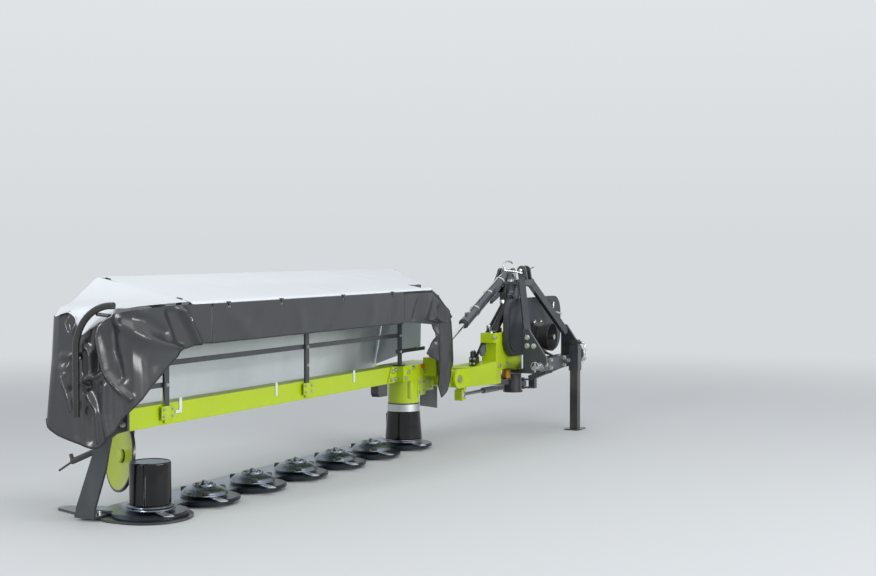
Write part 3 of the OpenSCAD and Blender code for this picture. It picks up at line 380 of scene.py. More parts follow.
def round_angles():
    """Angles 20 degrees apart, once round, for rings of wire."""
    return [math.radians(20 * i) for i in range(19)]


zinc = bare_metal("zinc-plated steel, passivated", "#c9ccc6", 0.3, 160.0)
bolt_set("crossbar_bolts", "headstock", 24, (0, 1, 0), [
    (-200, 600, 470), (200, 600, 470), (-120, 600, 445), (120, 600, 445), (120, 600, 495), (-120, 600, 495),
])
for side_name, side in (("right", 1), ("left", -1)):
    bolt_set("side_plate_bolts_" + side_name, "headstock", 26, (side, 0, 0), [
        (side * plate_face, 530, 600), (side * plate_face, 575, 600), (side * plate_face, 530, 655),
    ])
    # Linch pin with its ring at the end of the lower link pin
    end_x = side * (plate_face + 88)
    pin = bent_rod("linch_pin_" + side_name, [at(end_x, 620, 440), at(end_x, 620, 505)], 0.0045)
    ring = bent_rod("linch_ring_" + side_name, [
        at(end_x + 3 * side, 620 + 26 * math.sin(a), 478 + 27 * math.cos(a)) for a in round_angles()
    ], 0.0018)
    gather("linch_" + side_name, [pin, ring], "headstock", zinc)


# Hose holder and safety hooks on the mast
# Bent round bars, zinc-plated: one is welded to the mast's head, and one latches the guard. A red
# tab marks the transport lock, and the top link pin hangs in its lugs.

def block(place, size, edge):
    """A cut block with its middle at a place, its sizes in metres and its edges rounded."""
    bpy.ops.object.select_all(action="DESELECT")
    bpy.ops.mesh.primitive_cube_add(size=1, location=place)
    piece = bpy.context.object
    piece.scale = size
    settle(piece)
    return round_off(piece, edge)


def round_bar(sides, radius, length, place, rotation, edge):
    """A cut length of round bar with its middle at a place and its ends rounded."""
    bpy.ops.object.select_all(action="DESELECT")
    bpy.ops.mesh.primitive_cylinder_add(
        vertices=sides, radius=radius, depth=length, location=place, rotation=rotation,
    )
    piece = bpy.context.object
    settle(piece)
    return round_off(piece, edge)


holder = bent_rod("hose_bar", [
    at(62, 372, 1062), at(110, 330, 1076), at(150, 286, 1080), at(158, 280, 1108), at(140, 280, 1136),
    at(90, 280, 1143), at(40, 280, 1140), at(14, 280, 1129),
], 0.0065)
gather("hose_holder", [holder], "headstock", zinc)
lock_red = new_finish("red polyamide tab, moulded", "#d8482a", 0.42)[0]
tab = block(at(-58, 352, 985), (0.052, 0.006, 0.03), 0.002)
gather("lock_tab", [tab], "headstock", lock_red)
latch = bent_rod("latch_bar", [
    at(-568, 402, 769), at(-520, 402, 775), at(-455, 402, 784), at(-421, 402, 797), at(-418, 402, 830),
    at(-428, 402, 852),
], 0.007)
gather("guard_hook", [latch], "headstock", zinc)

# Top link pin with its cap and grip
top_pin = round_bar(32, 0.0122, 0.124, at(0, 360, 1080), (0, math.pi / 2, 0), 0.002)
top_cap = round_bar(32, 0.021, 0.007, at(-62, 360, 1080), (0, math.pi / 2, 0), 0.0015)
grip = bent_rod("pin_grip", [
    at(-66, 360, 1080), at(-84, 362, 1084), at(-92, 378, 1096), at(-84, 396, 1104), at(-70, 400, 1100),
], 0.004)
gather("top_link_pin", [top_pin, top_cap, grip], "headstock", zinc)


# Guard plate, input gearbox and its bell
# A moulded black guard stands between the gearbox and the swing frame. The cast gearbox is
# bolted to the crossbar by two feet, and a ribbed rubber bell shields the power shaft.

def moulded(name, colour, roughness, grain_mm):
    """Moulded plastic or rubber with the fine grain of its mould."""
    material, tree, shader = new_finish(name, colour, roughness)
    place = add_node(tree, "TexCoord").outputs["Object"]
    # The grain is drawn coarser than the real 0.3 mm, so that it shows
    grain = add_node(tree, "TexVoronoi", {"Scale": 1000.0 / grain_mm}, {"Vector": place})
    smear = add_node(tree, "TexNoise", {"Scale": 6.0, "Detail": 4.0}, {"Vector": place})
    dull = add_node(tree, "MapRange", {"To Min": roughness - 0.1, "To Max": roughness + 0.14}, {
        "Value": smear.outputs["Fac"],
    })
    tree.links.new(dull.outputs[0], shader.inputs["Roughness"])
    bump = add_node(tree, "Bump", {"Strength": 0.2, "Distance": 0.0004}, {
        "Height": grain.outputs["Distance"],
    })
    tree.links.new(bump.outputs[0], shader.inputs["Normal"])
    return material


guard_plastic = moulded("polyethylene, moulded", "#303338", 0.5, 3.0)
bell_rubber = moulded("rubber bell, moulded", "#17181a", 0.55, 2.5)
gearbox_black = enamel("black enamel on cast iron", "#1b1d1f", "#6f6c64", 0.36, 0.3)
dress("drive_guard", guard_plastic)
dress("input_gearbox", gearbox_black, turned_steel)
stub_axis = at(0, 492.5, 640)
paint_where("input_gearbox", 1, lambda c: (c.xz - stub_axis.xz).length < 0.0185 and c.y > stub_axis.y)
dress("shaft_bell", bell_rubber)
bolt_set("gearbox_cover_bolts", "headstock", 13, (0, 1, 0), [
    (50 * math.cos(math.radians(45 + 90 * i)), 482, 640 + 50 * math.sin(math.radians(45 + 90 * i)))
    for i in range(4)
])
bolt_set("gearbox_side_bolts", "headstock", 15, (0, 0, 1), [
    (-60, 415, 735), (60, 415, 735), (-60, 458, 735), (60, 458, 735),
])
bolt_set("guard_bolts", "headstock", 16, (0, -1, 0), [
    (-60, 356, 708), (60, 356, 708), (-60, 356, 640), (60, 356, 640),
])


# Parking stand
# A square tube that slides in its sleeve on the crossbar and is held by a pin through it.

stand_black = enamel("black enamel on tube", "#202225", "#77736a", 0.4, 0.5)
dress("stand_leg", stand_black)
stand_x = -246
stand_pin = bent_rod("stand_pin", [
    at(stand_x, 655, 590), at(stand_x, 694, 590), at(stand_x, 700, 584), at(stand_x, 701, 552),
], 0.0055)
stand_ring = bent_rod("stand_ring", [
    at(stand_x + 24 * math.sin(a), 703, 528 + 24 * math.cos(a)) for a in round_angles()
], 0.0022)
gather("stand_lock", [stand_pin, stand_ring], "stand", zinc)
stand_cap = block(at(stand_x, 633, 604.5), (0.0535, 0.0535, 0.007), 0.002)
gather("stand_tube_cap", [stand_cap], "stand", guard_plastic)


# Swing frame: post, boom and stay
# The post turns on the kingpin behind the headstock. The welded lime boom carries the mower on
# its fork, and a blue-grey stay braces the clevis of the lift cylinder.

lime_enamel = enamel("lime enamel, sprayed", "#abc205", "#8a8a58", 0.34, 0.14)
lime_enamel.node_tree.nodes["Principled BSDF"].inputs["Coat Weight"].default_value = 0.1
dress("swing_post", slate_enamel, turned_steel)
lift_pin_axis = at(-200, 0, 1050)
paint_where("swing_post", 1, lambda c: (c.xz - lift_pin_axis.xz).length < 0.0205)
dress("swing_arm", lime_enamel, turned_steel)
fold_axis = at(660, 0, 400)
paint_where("swing_arm", 1, lambda c: (c.xz - fold_axis.xz).length < 0.0255)
stay_enamel = enamel("blue-grey enamel, sprayed", "#4d545c", "#8a8880", 0.3, 0.3)
dress("stay_plate", stay_enamel)
bolt_set("boom_bolts", "boom", 22, (0, 1, 0), [
    (150, 345, 590), (232, 345, 655), (452, 345, 655), (380, 345, 470), (250, 345, 470), (60, 345, 590),
])
bolt_set("boom_top_bolts", "boom", 20, (0, 0, 1), [(222, 320, 682), (222, 272, 682), (446, 320, 682)])
marker = round_bar(24, 0.009, 0.026, at(250, 300, 694), (0, 0, 0), 0.003)
gather("boom_marker", [marker], "boom", lock_red)
gauge = bent_rod("gauge_wire", [at(205, 300, 682), at(205, 300, 724), at(207, 300, 744)], 0.0025)
gather("boom_gauge", [gauge], "boom", zinc)
# Plate that hangs the transfer gearbox from the boom
hanger = block(at(202, 291, 358), (0.284, 0.03, 0.012), 0.002)
gather("transfer_hanger", [hanger], "boom", slate_enamel)


# Relief spring
# A cold-coiled tension spring in black enamel that takes the weight of the cutterbar.

spring_black = enamel("black enamel on spring wire", "#141517", "#5e5b55", 0.3, 0.15)
spring_top = at(70, 305, 930)
spring_low = at(400, 305, 649)
spring_axis = (spring_low - spring_top).normalized()
hook_length = 0.047
turn_count = 31
spring_length = (spring_low - spring_top).length - 2 * hook_length
bpy.ops.object.select_all(action="DESELECT")
bpy.ops.mesh.primitive_circle_add(
    vertices=8, radius=0.0042, location=(0.02, 0, 0), rotation=(math.pi / 2, 0, 0),
)
coil = bpy.context.object
coil.name = "coiled_spring"
settle(coil)
turns = coil.modifiers.new("turns", "SCREW")
turns.axis = "Z"
turns.steps = 20
turns.render_steps = 20
turns.iterations = turn_count
turns.screw_offset = spring_length / (turn_count + 0.5)
bpy.ops.object.modifier_apply(modifier=turns.name)
bpy.ops.object.mode_set(mode="EDIT")
bpy.ops.mesh.select_all(action="SELECT")
bpy.ops.mesh.fill_holes(sides=8)
bpy.ops.mesh.select_all(action="SELECT")
bpy.ops.mesh.normals_make_consistent(inside=False)
close_edit()
bpy.ops.object.shade_smooth_by_angle(angle=math.radians(50))
point_along(coil, spring_top + spring_axis * hook_length, spring_axis)
coil.data.materials.append(spring_black)
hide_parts("relief_spring")
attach(coil, "boom")


# Drive to the mower: transfer gearbox and shaft
# A cast gearbox under the post passes the power sideways to a shaft in a plastic tube guard,
# which ends at the fold hinge.

dress("transfer_box", gearbox_black)
dress("drive_shaft", bell_rubber)


# Break-away strut
# A drawn tube and rod with a spring inside, which give way if the cutterbar strikes a post.

strut_grey = enamel("grey enamel on tube", "#5d6165", "#8d8a82", 0.36, 0.3)
drawn_rod = bare_metal("drawn steel rod", "#9b9ea1", 0.32, 120.0)
dress("strut_tube", strut_grey)
dress("strut_rod", drawn_rod)


# Lift cylinder
# The barrel is enamelled, the rod hard chrome. A steel pipe carries oil along the barrel.

barrel_enamel = enamel("slate enamel on tube", "#474d54", "#83817a", 0.26, 0.2)
chrome = bare_metal("hard chrome, ground", "#d9dcde", 0.1, 60.0)
dress("lift_barrel", barrel_enamel)
dress("lift_rod", chrome)


# Hinge head and mower gearbox
# Lime castings and welded plate: the head takes the fold pin and carries the beam on bolted
# flanges, and the gearbox hangs under it with its pot over the inner drum.

dress("hinge_head", lime_enamel, turned_steel)
dress("mower_gearbox", lime_enamel, gearbox_black)
pot_top = at(1040, 0, 283.1)
paint_where("mower_gearbox", 1, lambda c: c.z < pot_top.z and (c.xy - pot_top.xy).length < 0.0975)
bolt_set("head_bolts", "mower", 20, (0, 1, 0), [
    (1106, 100, 503), (960, 100, 471), (879, 100, 477), (1171, 100, 482), (790, 100, 448), (1206, 100, 447),
])
bolt_set("flange_bolts", "mower", 20, (0, 1, 0), [
    (1250, 55, 500), (1250, 55, 445), (1302, 55, 445), (1282, 55, 492),
])
bolt_set("gearbox_front_bolts", "mower", 16, (0, 1, 0), [
    (965, 100, 405), (1020, 100, 405), (965, 100, 345), (1020, 100, 345), (870, 100, 405), (870, 100, 362),
])
plug = round_bar(24, 0.013, 0.01, at(987, 105, 500), (math.pi / 2, 0, 0), 0.003)
gather("oil_plug", [plug], "mower", lock_red)


# Collar over the inner drum
# Bare cast aluminium, turned on its outside.

collar_cast = bare_metal("cast aluminium, turned", "#c3c6c6", 0.38, 70.0)
dress("drum_collar", collar_cast)


# Carrier beam and plates under the head
# The beam is a lime box section, and the bracket plates are slate enamel.

dress("carrier_beam", lime_enamel)
dress("bar_bracket", slate_enamel)


# Cutterbar bed and skids
# The bed is a bare steel housing with a bluish roll skin and gleaming worn edges. Hardened skids
# in dark enamel are bolted under it.

def bed_steel():
    """Rolled steel with its blue-grey skin, scratched by grass and sand."""
    material, tree, shader = new_finish("rolled steel, bluish skin", "#6d7a88", 0.35, 0.85)
    place = add_node(tree, "TexCoord").outputs["Object"]
    clouds = add_node(tree, "TexNoise", {"Scale": 7.0, "Detail": 6.0, "Roughness": 0.65}, {"Vector": place})
    tone = add_node(tree, "Mix", {"data_type": "RGBA", 6: linear("#56636f"), 7: linear("#94a2b2")}, {
        0: clouds.outputs["Fac"],
    })
    # The scallops ahead of the disc axes are drawn darker, near black
    side = add_node(tree, "SeparateXYZ", None, {0: place})
    ahead = add_node(tree, "MapRange", {"From Min": -0.16, "From Max": -0.06, "To Max": 0.88}, {
        "Value": side.outputs["Y"],
    })
    front_darkened_tone = add_node(tree, "Mix", {"data_type": "RGBA", 7: linear("#1e2226")}, {
        0: ahead.outputs[0],
        6: tone.outputs[2],
    })
    tree.links.new(front_darkened_tone.outputs[2], shader.inputs["Base Color"])
    # Scratches run along the bar, about 40 mm long and 2 mm apart
    stretch = add_node(tree, "Mapping", {"Scale": (25.0, 500.0, 500.0)}, {"Vector": place})
    scratch = add_node(tree, "TexNoise", {"Scale": 1.0, "Detail": 3.0}, {"Vector": stretch.outputs[0]})
    dull = add_node(tree, "MapRange", {"To Min": 0.2, "To Max": 0.46}, {"Value": scratch.outputs["Fac"]})
    tree.links.new(dull.outputs[0], shader.inputs["Roughness"])
    bump = add_node(tree, "Bump", {"Strength": 0.25, "Distance": 0.0005}, {"Height": scratch.outputs["Fac"]})
    tree.links.new(bump.outputs[0], shader.inputs["Normal"])
    return material


bar_steel = bed_steel()
dress("cutterbar_bed", bar_steel)
skid_black = enamel("dark enamel on hardened steel", "#24282c", "#74726b", 0.36, 0.5)
dress("skids", skid_black, bar_steel)
skid_toe = at(0, -436, 0)
paint_where("skids", 1, lambda c: c.y < skid_toe.y)


# Outer strut
# A bent slate plate that stands on the outer shoe and closes the end of the beam.

dress("outer_strut", slate_enamel)
bolt_set("strut_bolts", "mower", 22, (1, 0, 0), [
    (3712, -20, 500), (3712, 20, 452), (3712, -70, 452),
])
bolt_set("strut_foot_bolts", "mower", 20, (0, 0, 1), [
    (3640, -180, 22), (3640, -232, 22), (3682, -232, 22),
])


# Oil lines of the boom
# A gold-chromated accumulator stands on the gearbox hanger, a valve block sits on the boom's
# throat, and clamped rubber hoses climb behind the stay to the lift cylinder's steel pipe.

def turned(name, outline, sides, place=(0, 0, 0), ring=False):
    """A turned or spun piece: the top face is pushed out along its axis and scaled, step by step.
    The outline is a list of (radius, height) in millimetres from the axis and its lower end; a
    ring has its first and last rim joined."""
    bpy.ops.object.select_all(action="DESELECT")
    first = outline[0]
    bpy.ops.mesh.primitive_circle_add(
        vertices=sides, radius=first[0] / 1000, fill_type="NGON", location=(0, 0, first[1] / 1000),
    )
    piece = bpy.context.object
    piece.name = name
    settle(piece)
    bpy.ops.object.mode_set(mode="EDIT")
    bpy.ops.mesh.select_all(action="SELECT")
    for before, step in zip(outline, outline[1:]):
        bpy.ops.mesh.extrude_region_move(
            TRANSFORM_OT_translate={"value": (0, 0, (step[1] - before[1]) / 1000)}
        )
        share = step[0] / before[0]
        bpy.ops.transform.resize(value=(share, share, 1), center_override=(0, 0, step[1] / 1000))
    if ring:
        pick(piece, lambda face: len(face.vertices) == sides)
        bpy.ops.mesh.delete(type="ONLY_FACE")
        bpy.ops.mesh.select_mode(type="EDGE")
        bpy.ops.mesh.select_all(action="DESELECT")
        bpy.ops.mesh.select_non_manifold()
        bpy.ops.mesh.bridge_edge_loops()
    bpy.ops.mesh.select_all(action="SELECT")
    bpy.ops.mesh.normals_make_consistent(inside=False)
    close_edit()
    bpy.ops.object.shade_smooth_by_angle(angle=math.radians(30))
    if place != (0, 0, 0):
        piece.data.transform(Matrix.Translation(place))
    return piece


chromate = bare_metal("yellow-chromated steel", "#b98a3e", 0.32, 120.0)
accumulator = turned("accumulator", [
    (14, 0), (27, 3), (30, 8), (30, 50), (27.5, 54), (30, 57), (30, 60), (22, 64), (12, 65),
], 36, at(150, 298, 365))
gather("accumulator_body", [accumulator], "boom", chromate)
accumulator_cap = turned("accumulator_cap", [(19, 0), (19, 8), (16, 10)], 24, at(150, 298, 430))
gather("accumulator_end", [accumulator_cap], "boom", gearbox_black)
valve_block = block(at(468, 212, 500), (0.062, 0.046, 0.056), 0.003)
coils = [
    turned("valve_coil", [(13, 0), (13, 34), (11, 36), (5, 36), (5, 42), (2, 43)], 24, at(x, 205, 527))
    for x in (452, 484)
]
gather("valve_body", [valve_block] + coils, "boom", gearbox_black)
bolt_set("valve_bolts", "boom", 13, (1, 0, 0), [
    (499, 226, 516), (499, 198, 516), (499, 226, 486), (499, 198, 486),
])


def stay_height(x):
    """Height of the stay's middle line, in millimetres like x."""
    return 560 + (x - 470) * (905 - 560) / (-10 - 470)


def hose_run(rise, y):
    """A hose from the valve block up along the stay, this far above its middle line."""
    start = [at(466, 228, 526), at(466, 238, 542 + rise * 0.3), at(448, y, 574 + rise * 0.6)]
    climb_beside = [at(x, y, stay_height(x) + rise) for x in (420, 330, 230, 130, 60)]
    return start + climb_beside + [at(14, y - 12, 905 + rise * 0.7), at(-16, y - 26, 932 + rise * 0.4)]


hoses = [bent_rod("clamped_hose", hose_run(rise, y), 0.0085, 4) for rise, y in ((24, 254), (44, 252))]
gather("clamped_hoses", hoses, "boom", bell_rubber)
clips = [block(at(x, 253, stay_height(x) + 31), (0.018, 0.03, 0.07), 0.003) for x in (110, 330)]
gather("hose_clips", clips, "boom", zinc)

lift_upper_pin = (-200, 1050)
lift_lower_pin = (840, 580)
lift_lean = math.atan2(lift_upper_pin[1] - lift_lower_pin[1], lift_lower_pin[0] - lift_upper_pin[0])


def beside_cylinder(along, off):
    """A place beside the lift cylinder: how far from its upper pin, and how far above its middle."""
    return at(
        lift_upper_pin[0] + along * math.cos(lift_lean) + off * math.sin(lift_lean), 145,
        lift_upper_pin[1] - along * math.sin(lift_lean) + off * math.cos(lift_lean),
    )


port = 648
barrel_pipe = bent_rod("barrel_pipe", [beside_cylinder(along, off) for along, off in (
    (port, 34), (port, 36), (642, 39), (628, 40), (400, 40), (150, 40), (110, 38), (80, 34),
)], 0.0045, 4)
union_nut = turned("union_nut", [(9, -8), (11, -6), (11, 6), (8, 8)], 6)
point_along(union_nut, beside_cylinder(port, 30), beside_cylinder(port, 44) - beside_cylinder(port, 30))
first_clip = beside_cylinder(560, 0)
pipe_clip = turned("pipe_clip", [(33.2, -9), (37, -9), (37, 9), (33.2, 9)], 36, ring=True)
point_along(pipe_clip, first_clip, beside_cylinder(60, 0) - beside_cylinder(0, 0))
other_clips = [twin_of(pipe_clip, beside_cylinder(along, 0) - first_clip) for along in (330, 130)]
gather("lift_pipe", [barrel_pipe, union_nut, pipe_clip] + other_clips, "lift_outer", zinc)


# Swath disc and its carrier
# A dished sheet-steel disc that runs on a stub and pushes the cut grass inwards: lime on its face,
# with a black rim. The carrier is painted black, and a plated lever beside it catches the curtain.

carrier_black = enamel("black enamel on carrier", "#1d2023", "#6c6a64", 0.34, 0.35)
dress("swath_carrier", carrier_black)
rim_black = enamel("black enamel on rim", "#16181a", "#5e5c56", 0.3, 0.2)
swath_green = enamel("lime enamel, in shade", "#a2b516", "#8a8c50", 0.36, 0.3)
swath = turned("swath_plate", [
    (172, 13), (172, 24), (167, 26.5), (160, 25.5), (155, 23), (112, 13), (86, 9), (62, 6.5), (40, 6.5),
    (33, 8), (31, 15), (22, 16.5), (12.3, 16.5), (12.3, 1.5), (32, 1.5), (61, 2), (110, 8.5), (152, 19),
    (159, 14.5), (166, 12.2), (171.8, 12.5),
], 72, ring=True)
swath.data.materials.append(swath_green)
swath.data.materials.append(rim_black)
rim_start = 0.158
hub_end = 0.034
for face in swath.data.polygons:
    reach = face.center.xy.length
    if reach > rim_start or reach < hub_end:
        face.material_index = 1
toe = math.radians(-28.7)
lean = math.radians(90 - 6)
swath_hub = at(3332, -290, 238)
swath_along = Vector((math.sin(lean) * math.cos(toe), math.sin(lean) * math.sin(toe), math.cos(lean)))
point_along(swath, swath_hub, swath_along)
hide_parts("swath_disc")
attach(swath, "swather")
hub_cap = turned("hub_cap", [(31, 12), (31, 22), (28, 26), (8, 28), (2, 28.2)], 40)
point_along(hub_cap, swath_hub, swath_along)
gather("swath_hub_cap", [hub_cap], "swather", swath_green)


# Guard posts, rails and cover tubes
# Flat bars and round tube in slate enamel, bolted to the beam and to each other. The brackets of
# the two outer posts are lime like the beam.

bracket_top = at(0, 0, 512).z
dress("guard_posts", slate_enamel, lime_enamel)
paint_where("guard_posts", 1, lambda c: c.z < bracket_top and c.x > at(2000, 0, 0).x)
dress("cover_tubes", slate_enamel)
post_places = {"outer": 3447, "middle": 2240, "inner": 1185}
for post_name in ("outer", "middle"):
    bolt_set("post_bolts_" + post_name, "mower", 13, (0, 1, 0), [
        (post_places[post_name] + side, 63, height) for height in (462, 494) for side in (-30, 30)
    ])
for post_name, post_x in post_places.items():
    bolt_set("rail_bolts_" + post_name, "mower", 14, (0, 1, 0), [(post_x, 57, 702), (post_x, 57, 604)])


# Discs and blades
# Pressed discs of hardened steel, polished by the grass: an oval skirt, a dome, and a deep hub ring
# with its nuts. Two bright blades hang under each, and three lugs throw the grass.

def polished_steel():
    """Dark hardened steel polished by grass: a mirror dome with fine round scratches."""
    material, tree, shader = new_finish("hardened steel, grass-polished", "#5a626c", 0.2, 1.0)
    place = add_node(tree, "TexCoord").outputs["Object"]
    clouds = add_node(tree, "TexNoise", {"Scale": 16.0, "Detail": 6.0, "Roughness": 0.7}, {"Vector": place})
    tone = add_node(tree, "Mix", {"data_type": "RGBA", 6: linear("#414850"), 7: linear("#949da8")}, {
        0: clouds.outputs["Fac"],
    })
    tree.links.new(tone.outputs[2], shader.inputs["Base Color"])
    fine = add_node(tree, "TexNoise", {"Scale": 240.0, "Detail": 3.0}, {"Vector": place})
    dull = add_node(tree, "MapRange", {"To Min": 0.14, "To Max": 0.42}, {"Value": fine.outputs["Fac"]})
    tree.links.new(dull.outputs[0], shader.inputs["Roughness"])
    bump = add_node(tree, "Bump", {"Strength": 0.16, "Distance": 0.0006}, {"Height": clouds.outputs["Fac"]})
    tree.links.new(bump.outputs[0], shader.inputs["Normal"])
    return material


dome_steel = polished_steel()
hub_black = enamel("black enamel in hub", "#15171a", "#55534e", 0.32, 0.3)
blade_steel = bare_metal("blade steel, ground", "#d3d6d8", 0.3, 130.0)
oval = 0.125


def disc_body():
    """One disc, long axis along X, hub at the origin, heights above the ground."""
    dome = turned("disc_body", [
        (106, 41.9), (111, 43), (112, 47), (110, 51), (107.5, 53), (106, 57), (102, 62), (96, 68), (88, 73),
        (78, 77.5), (66, 81), (58, 83.5), (56.5, 86), (56, 90), (54.5, 92.6), (51.5, 93), (46, 92), (44, 90),
        (43, 86.2), (30, 86), (26, 87), (24.5, 93), (21, 94), (12, 94),
    ], 60)
    dome.data.materials.append(dome_steel)
    dome.data.materials.append(hub_black)
    ring_inside = 0.0525
    for face in dome.data.polygons:
        if face.center.xy.length < ring_inside:
            face.material_index = 1
    # The skirt is oval, longer along X, and the dome inside it stays round
    for spot in dome.data.vertices:
        share = max(0.0, min(1.0, (spot.co.xy.length - 0.06) / 0.045))
        spot.co.x *= 1 + oval * share
    return dome


def plain_lug(angle):
    """A thick lug on the skirt, with its ends rounded."""
    bpy.ops.object.select_all(action="DESELECT")
    bpy.ops.mesh.primitive_cube_add(size=1)
    lug = bpy.context.object
    lug.scale = (0.02, 0.034, 0.026)
    lug.location = (0.1125, 0, 0.060)
    settle(lug)
    round_off(lug, 0.006, 3)
    lug.data.transform(Matrix.Rotation(math.radians(angle), 4, "Z"))
    return lug


def blade(angle):
    """A flat blade with a ground edge and a slight twist, on its bolt under the skirt."""
    length = 0.136
    half_width = 0.023
    middle = 0.164
    bpy.ops.object.select_all(action="DESELECT")
    bpy.ops.mesh.primitive_cube_add(size=1)
    plate = bpy.context.object
    plate.scale = (length, 2 * half_width, 0.0038)
    plate.location = (middle, 0, 0.0399)
    settle(plate)
    bpy.ops.object.mode_set(mode="EDIT")
    bpy.ops.mesh.select_all(action="SELECT")
    bpy.ops.mesh.subdivide(number_cuts=3)
    close_edit()
    for spot in plate.data.vertices:
        out = (spot.co.x - middle) / length + 0.5
        across = abs(spot.co.y) / half_width
        spot.co.z -= 0.0012 * (spot.co.y / half_width) * max(0.0, out)
        # The tip is cut back at its corners, and the end on the bolt is rounded
        if out > 0.99:
            spot.co.x -= 0.008 * across
        if out < 0.01:
            spot.co.x -= 0.02 * (1 - across ** 2)
            spot.co.y *= 0.8
    round_off(plate, 0.0008, 1)
    plate.data.transform(Matrix.Rotation(math.radians(angle), 4, "Z"))
    return plate


def put_materials(piece, finish):
    """Gives a loose piece its one finish."""
    piece.data.materials.clear()
    piece.data.materials.append(finish)
    return piece


def disc_x(number):
    """The discs are 410 mm apart, counted from the outer end."""
    return 3500 - 410 * (number - 1)


def rotor(number):
    """Disc, lugs, blades and nuts as one piece on its rotor."""
    # The drum's foot is a rolled ring of this radius on the outer and on the inner disc
    drum_foot = {1: 110, 7: 115}
    if number in drum_foot:
        foot = drum_foot[number]
        skirt = turned("disc_skirt", [
            (106, 41.9), (111, 43), (112, 47), (110.5, 51), (108, 52.5), (foot - 6, 53), (foot - 1, 54.5),
            (foot, 57), (foot - 1.5, 60), (foot - 8, 63.5), (foot - 13, 65), (40, 65),
        ], 60)
        skirt_top = 0.0526
        for spot in skirt.data.vertices:
            if spot.co.z < skirt_top:
                spot.co.x *= 1 + oval
        skirt.data.materials.append(dome_steel)
        parts = [skirt]
    else:
        parts = [disc_body()]
        for angle in (-20, 105, 217):
            parts.append(put_materials(plain_lug(angle), hub_black))
        for k in range(4):
            turn = Matrix.Rotation(math.radians(90 * k + 30), 4, "Z")
            nut = hex_bolt(0.009, turn @ Vector((0.036, 0, 0.0862)), (0, 0, 1))
            parts.append(put_materials(nut, zinc))
        parts.append(put_materials(hex_bolt(0.022, (0, 0, 0.094), (0, 0, 1)), dome_steel))
    for angle in (0, 180):
        parts.append(put_materials(blade(angle), blade_steel))
    spindle = turned("spindle", [(40, 36.4), (40, 41.9)], 40)
    parts.append(put_materials(spindle, hub_black))
    bpy.ops.object.select_all(action="DESELECT")
    for part in parts:
        part.select_set(True)
    bpy.context.view_layer.objects.active = parts[0]
    bpy.ops.object.join()
    whole = bpy.context.object
    whole.name = "rotor_disc_%d" % number
    whole.data.transform(Matrix.Rotation(math.radians(60), 4, "Z"))
    whole.data.transform(Matrix.Translation(at(disc_x(number), 0, 0)))
    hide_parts("disc_%d" % number)
    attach(whole, "rotor_%d" % number)
    return whole


first_rotor = rotor(2)
rotor(1)
rotor(7)
for number in range(3, 7):
    twin = twin_of(first_rotor, at(disc_x(number), 0, 0) - at(disc_x(2), 0, 0))
    twin.name = "rotor_disc_%d" % number
    twin.parent = None
    for key in list(twin.keys()):
        if key.startswith("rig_"):
            del twin[key]
    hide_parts("disc_%d" % number)
    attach(twin, "rotor_%d" % number)


# Swath drums
# Spun sheet steel in gloss black enamel, on the first and the last disc. The outer one is closed
# by a lid with a rolled rim and has a groove down each side.

drum_black = enamel("gloss black enamel on sheet", "#08090a", "#4a4944", 0.12, 0.12)
drum_shader = drum_black.node_tree.nodes["Principled BSDF"]
drum_shader.inputs["Coat Weight"].default_value = 0.0
drum_shader.inputs["Specular IOR Level"].default_value = 0.4
# The lid inside the rolled rim is drawn as light bluish metal: a painted reflection of the sky on the drum's
# top
lid_sky_reflection = bare_metal("lid, light bluish metal, painted sky reflection", "#7d8c9b", 0.3, 40.0)
outer_drum = turned("outer_drum_shell", [
    (93, 65.2), (95, 67), (95, 251), (94.3, 254.5), (92.5, 257), (90, 257.8), (87.5, 257), (86.6, 255.2),
    (40, 254.6), (6, 254.6),
], 96)


def on_groove(face):
    """Whether a face of the drum's wall lies on one of its two grooves."""
    around = math.degrees(math.atan2(face.center.y, face.center.x))
    return abs(face.normal.z) < 0.1 and face.area > 0.0005 and any(abs(around - a) < 2.2 for a in (22, -158))


pick(outer_drum, on_groove)
bpy.ops.mesh.inset(thickness=0.0006, depth=-0.003)
close_edit()
outer_drum.data.materials.append(drum_black)
outer_drum.data.materials.append(lid_sky_reflection)
lid_height = 0.2542
lid_radius = 0.087
# The faces of the lid get the painted sky reflection
for face in outer_drum.data.polygons:
    if face.center.z > lid_height and face.center.xy.length < lid_radius:
        face.material_index = 1
outer_drum.data.transform(Matrix.Translation(at(disc_x(1), 0, 0)))
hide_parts("drum_outer")
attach(outer_drum, "rotor_1")
dress("drum_inner", drum_black)


# Cover: top sheet and rear sheet
# Light-grey PVC tarpaulin over the two long tubes. The top sheet sags a little between them, has
# a corded front hem and a slot for the lift cylinder; the rear sheet hangs from the ridge in
# loose vertical folds.

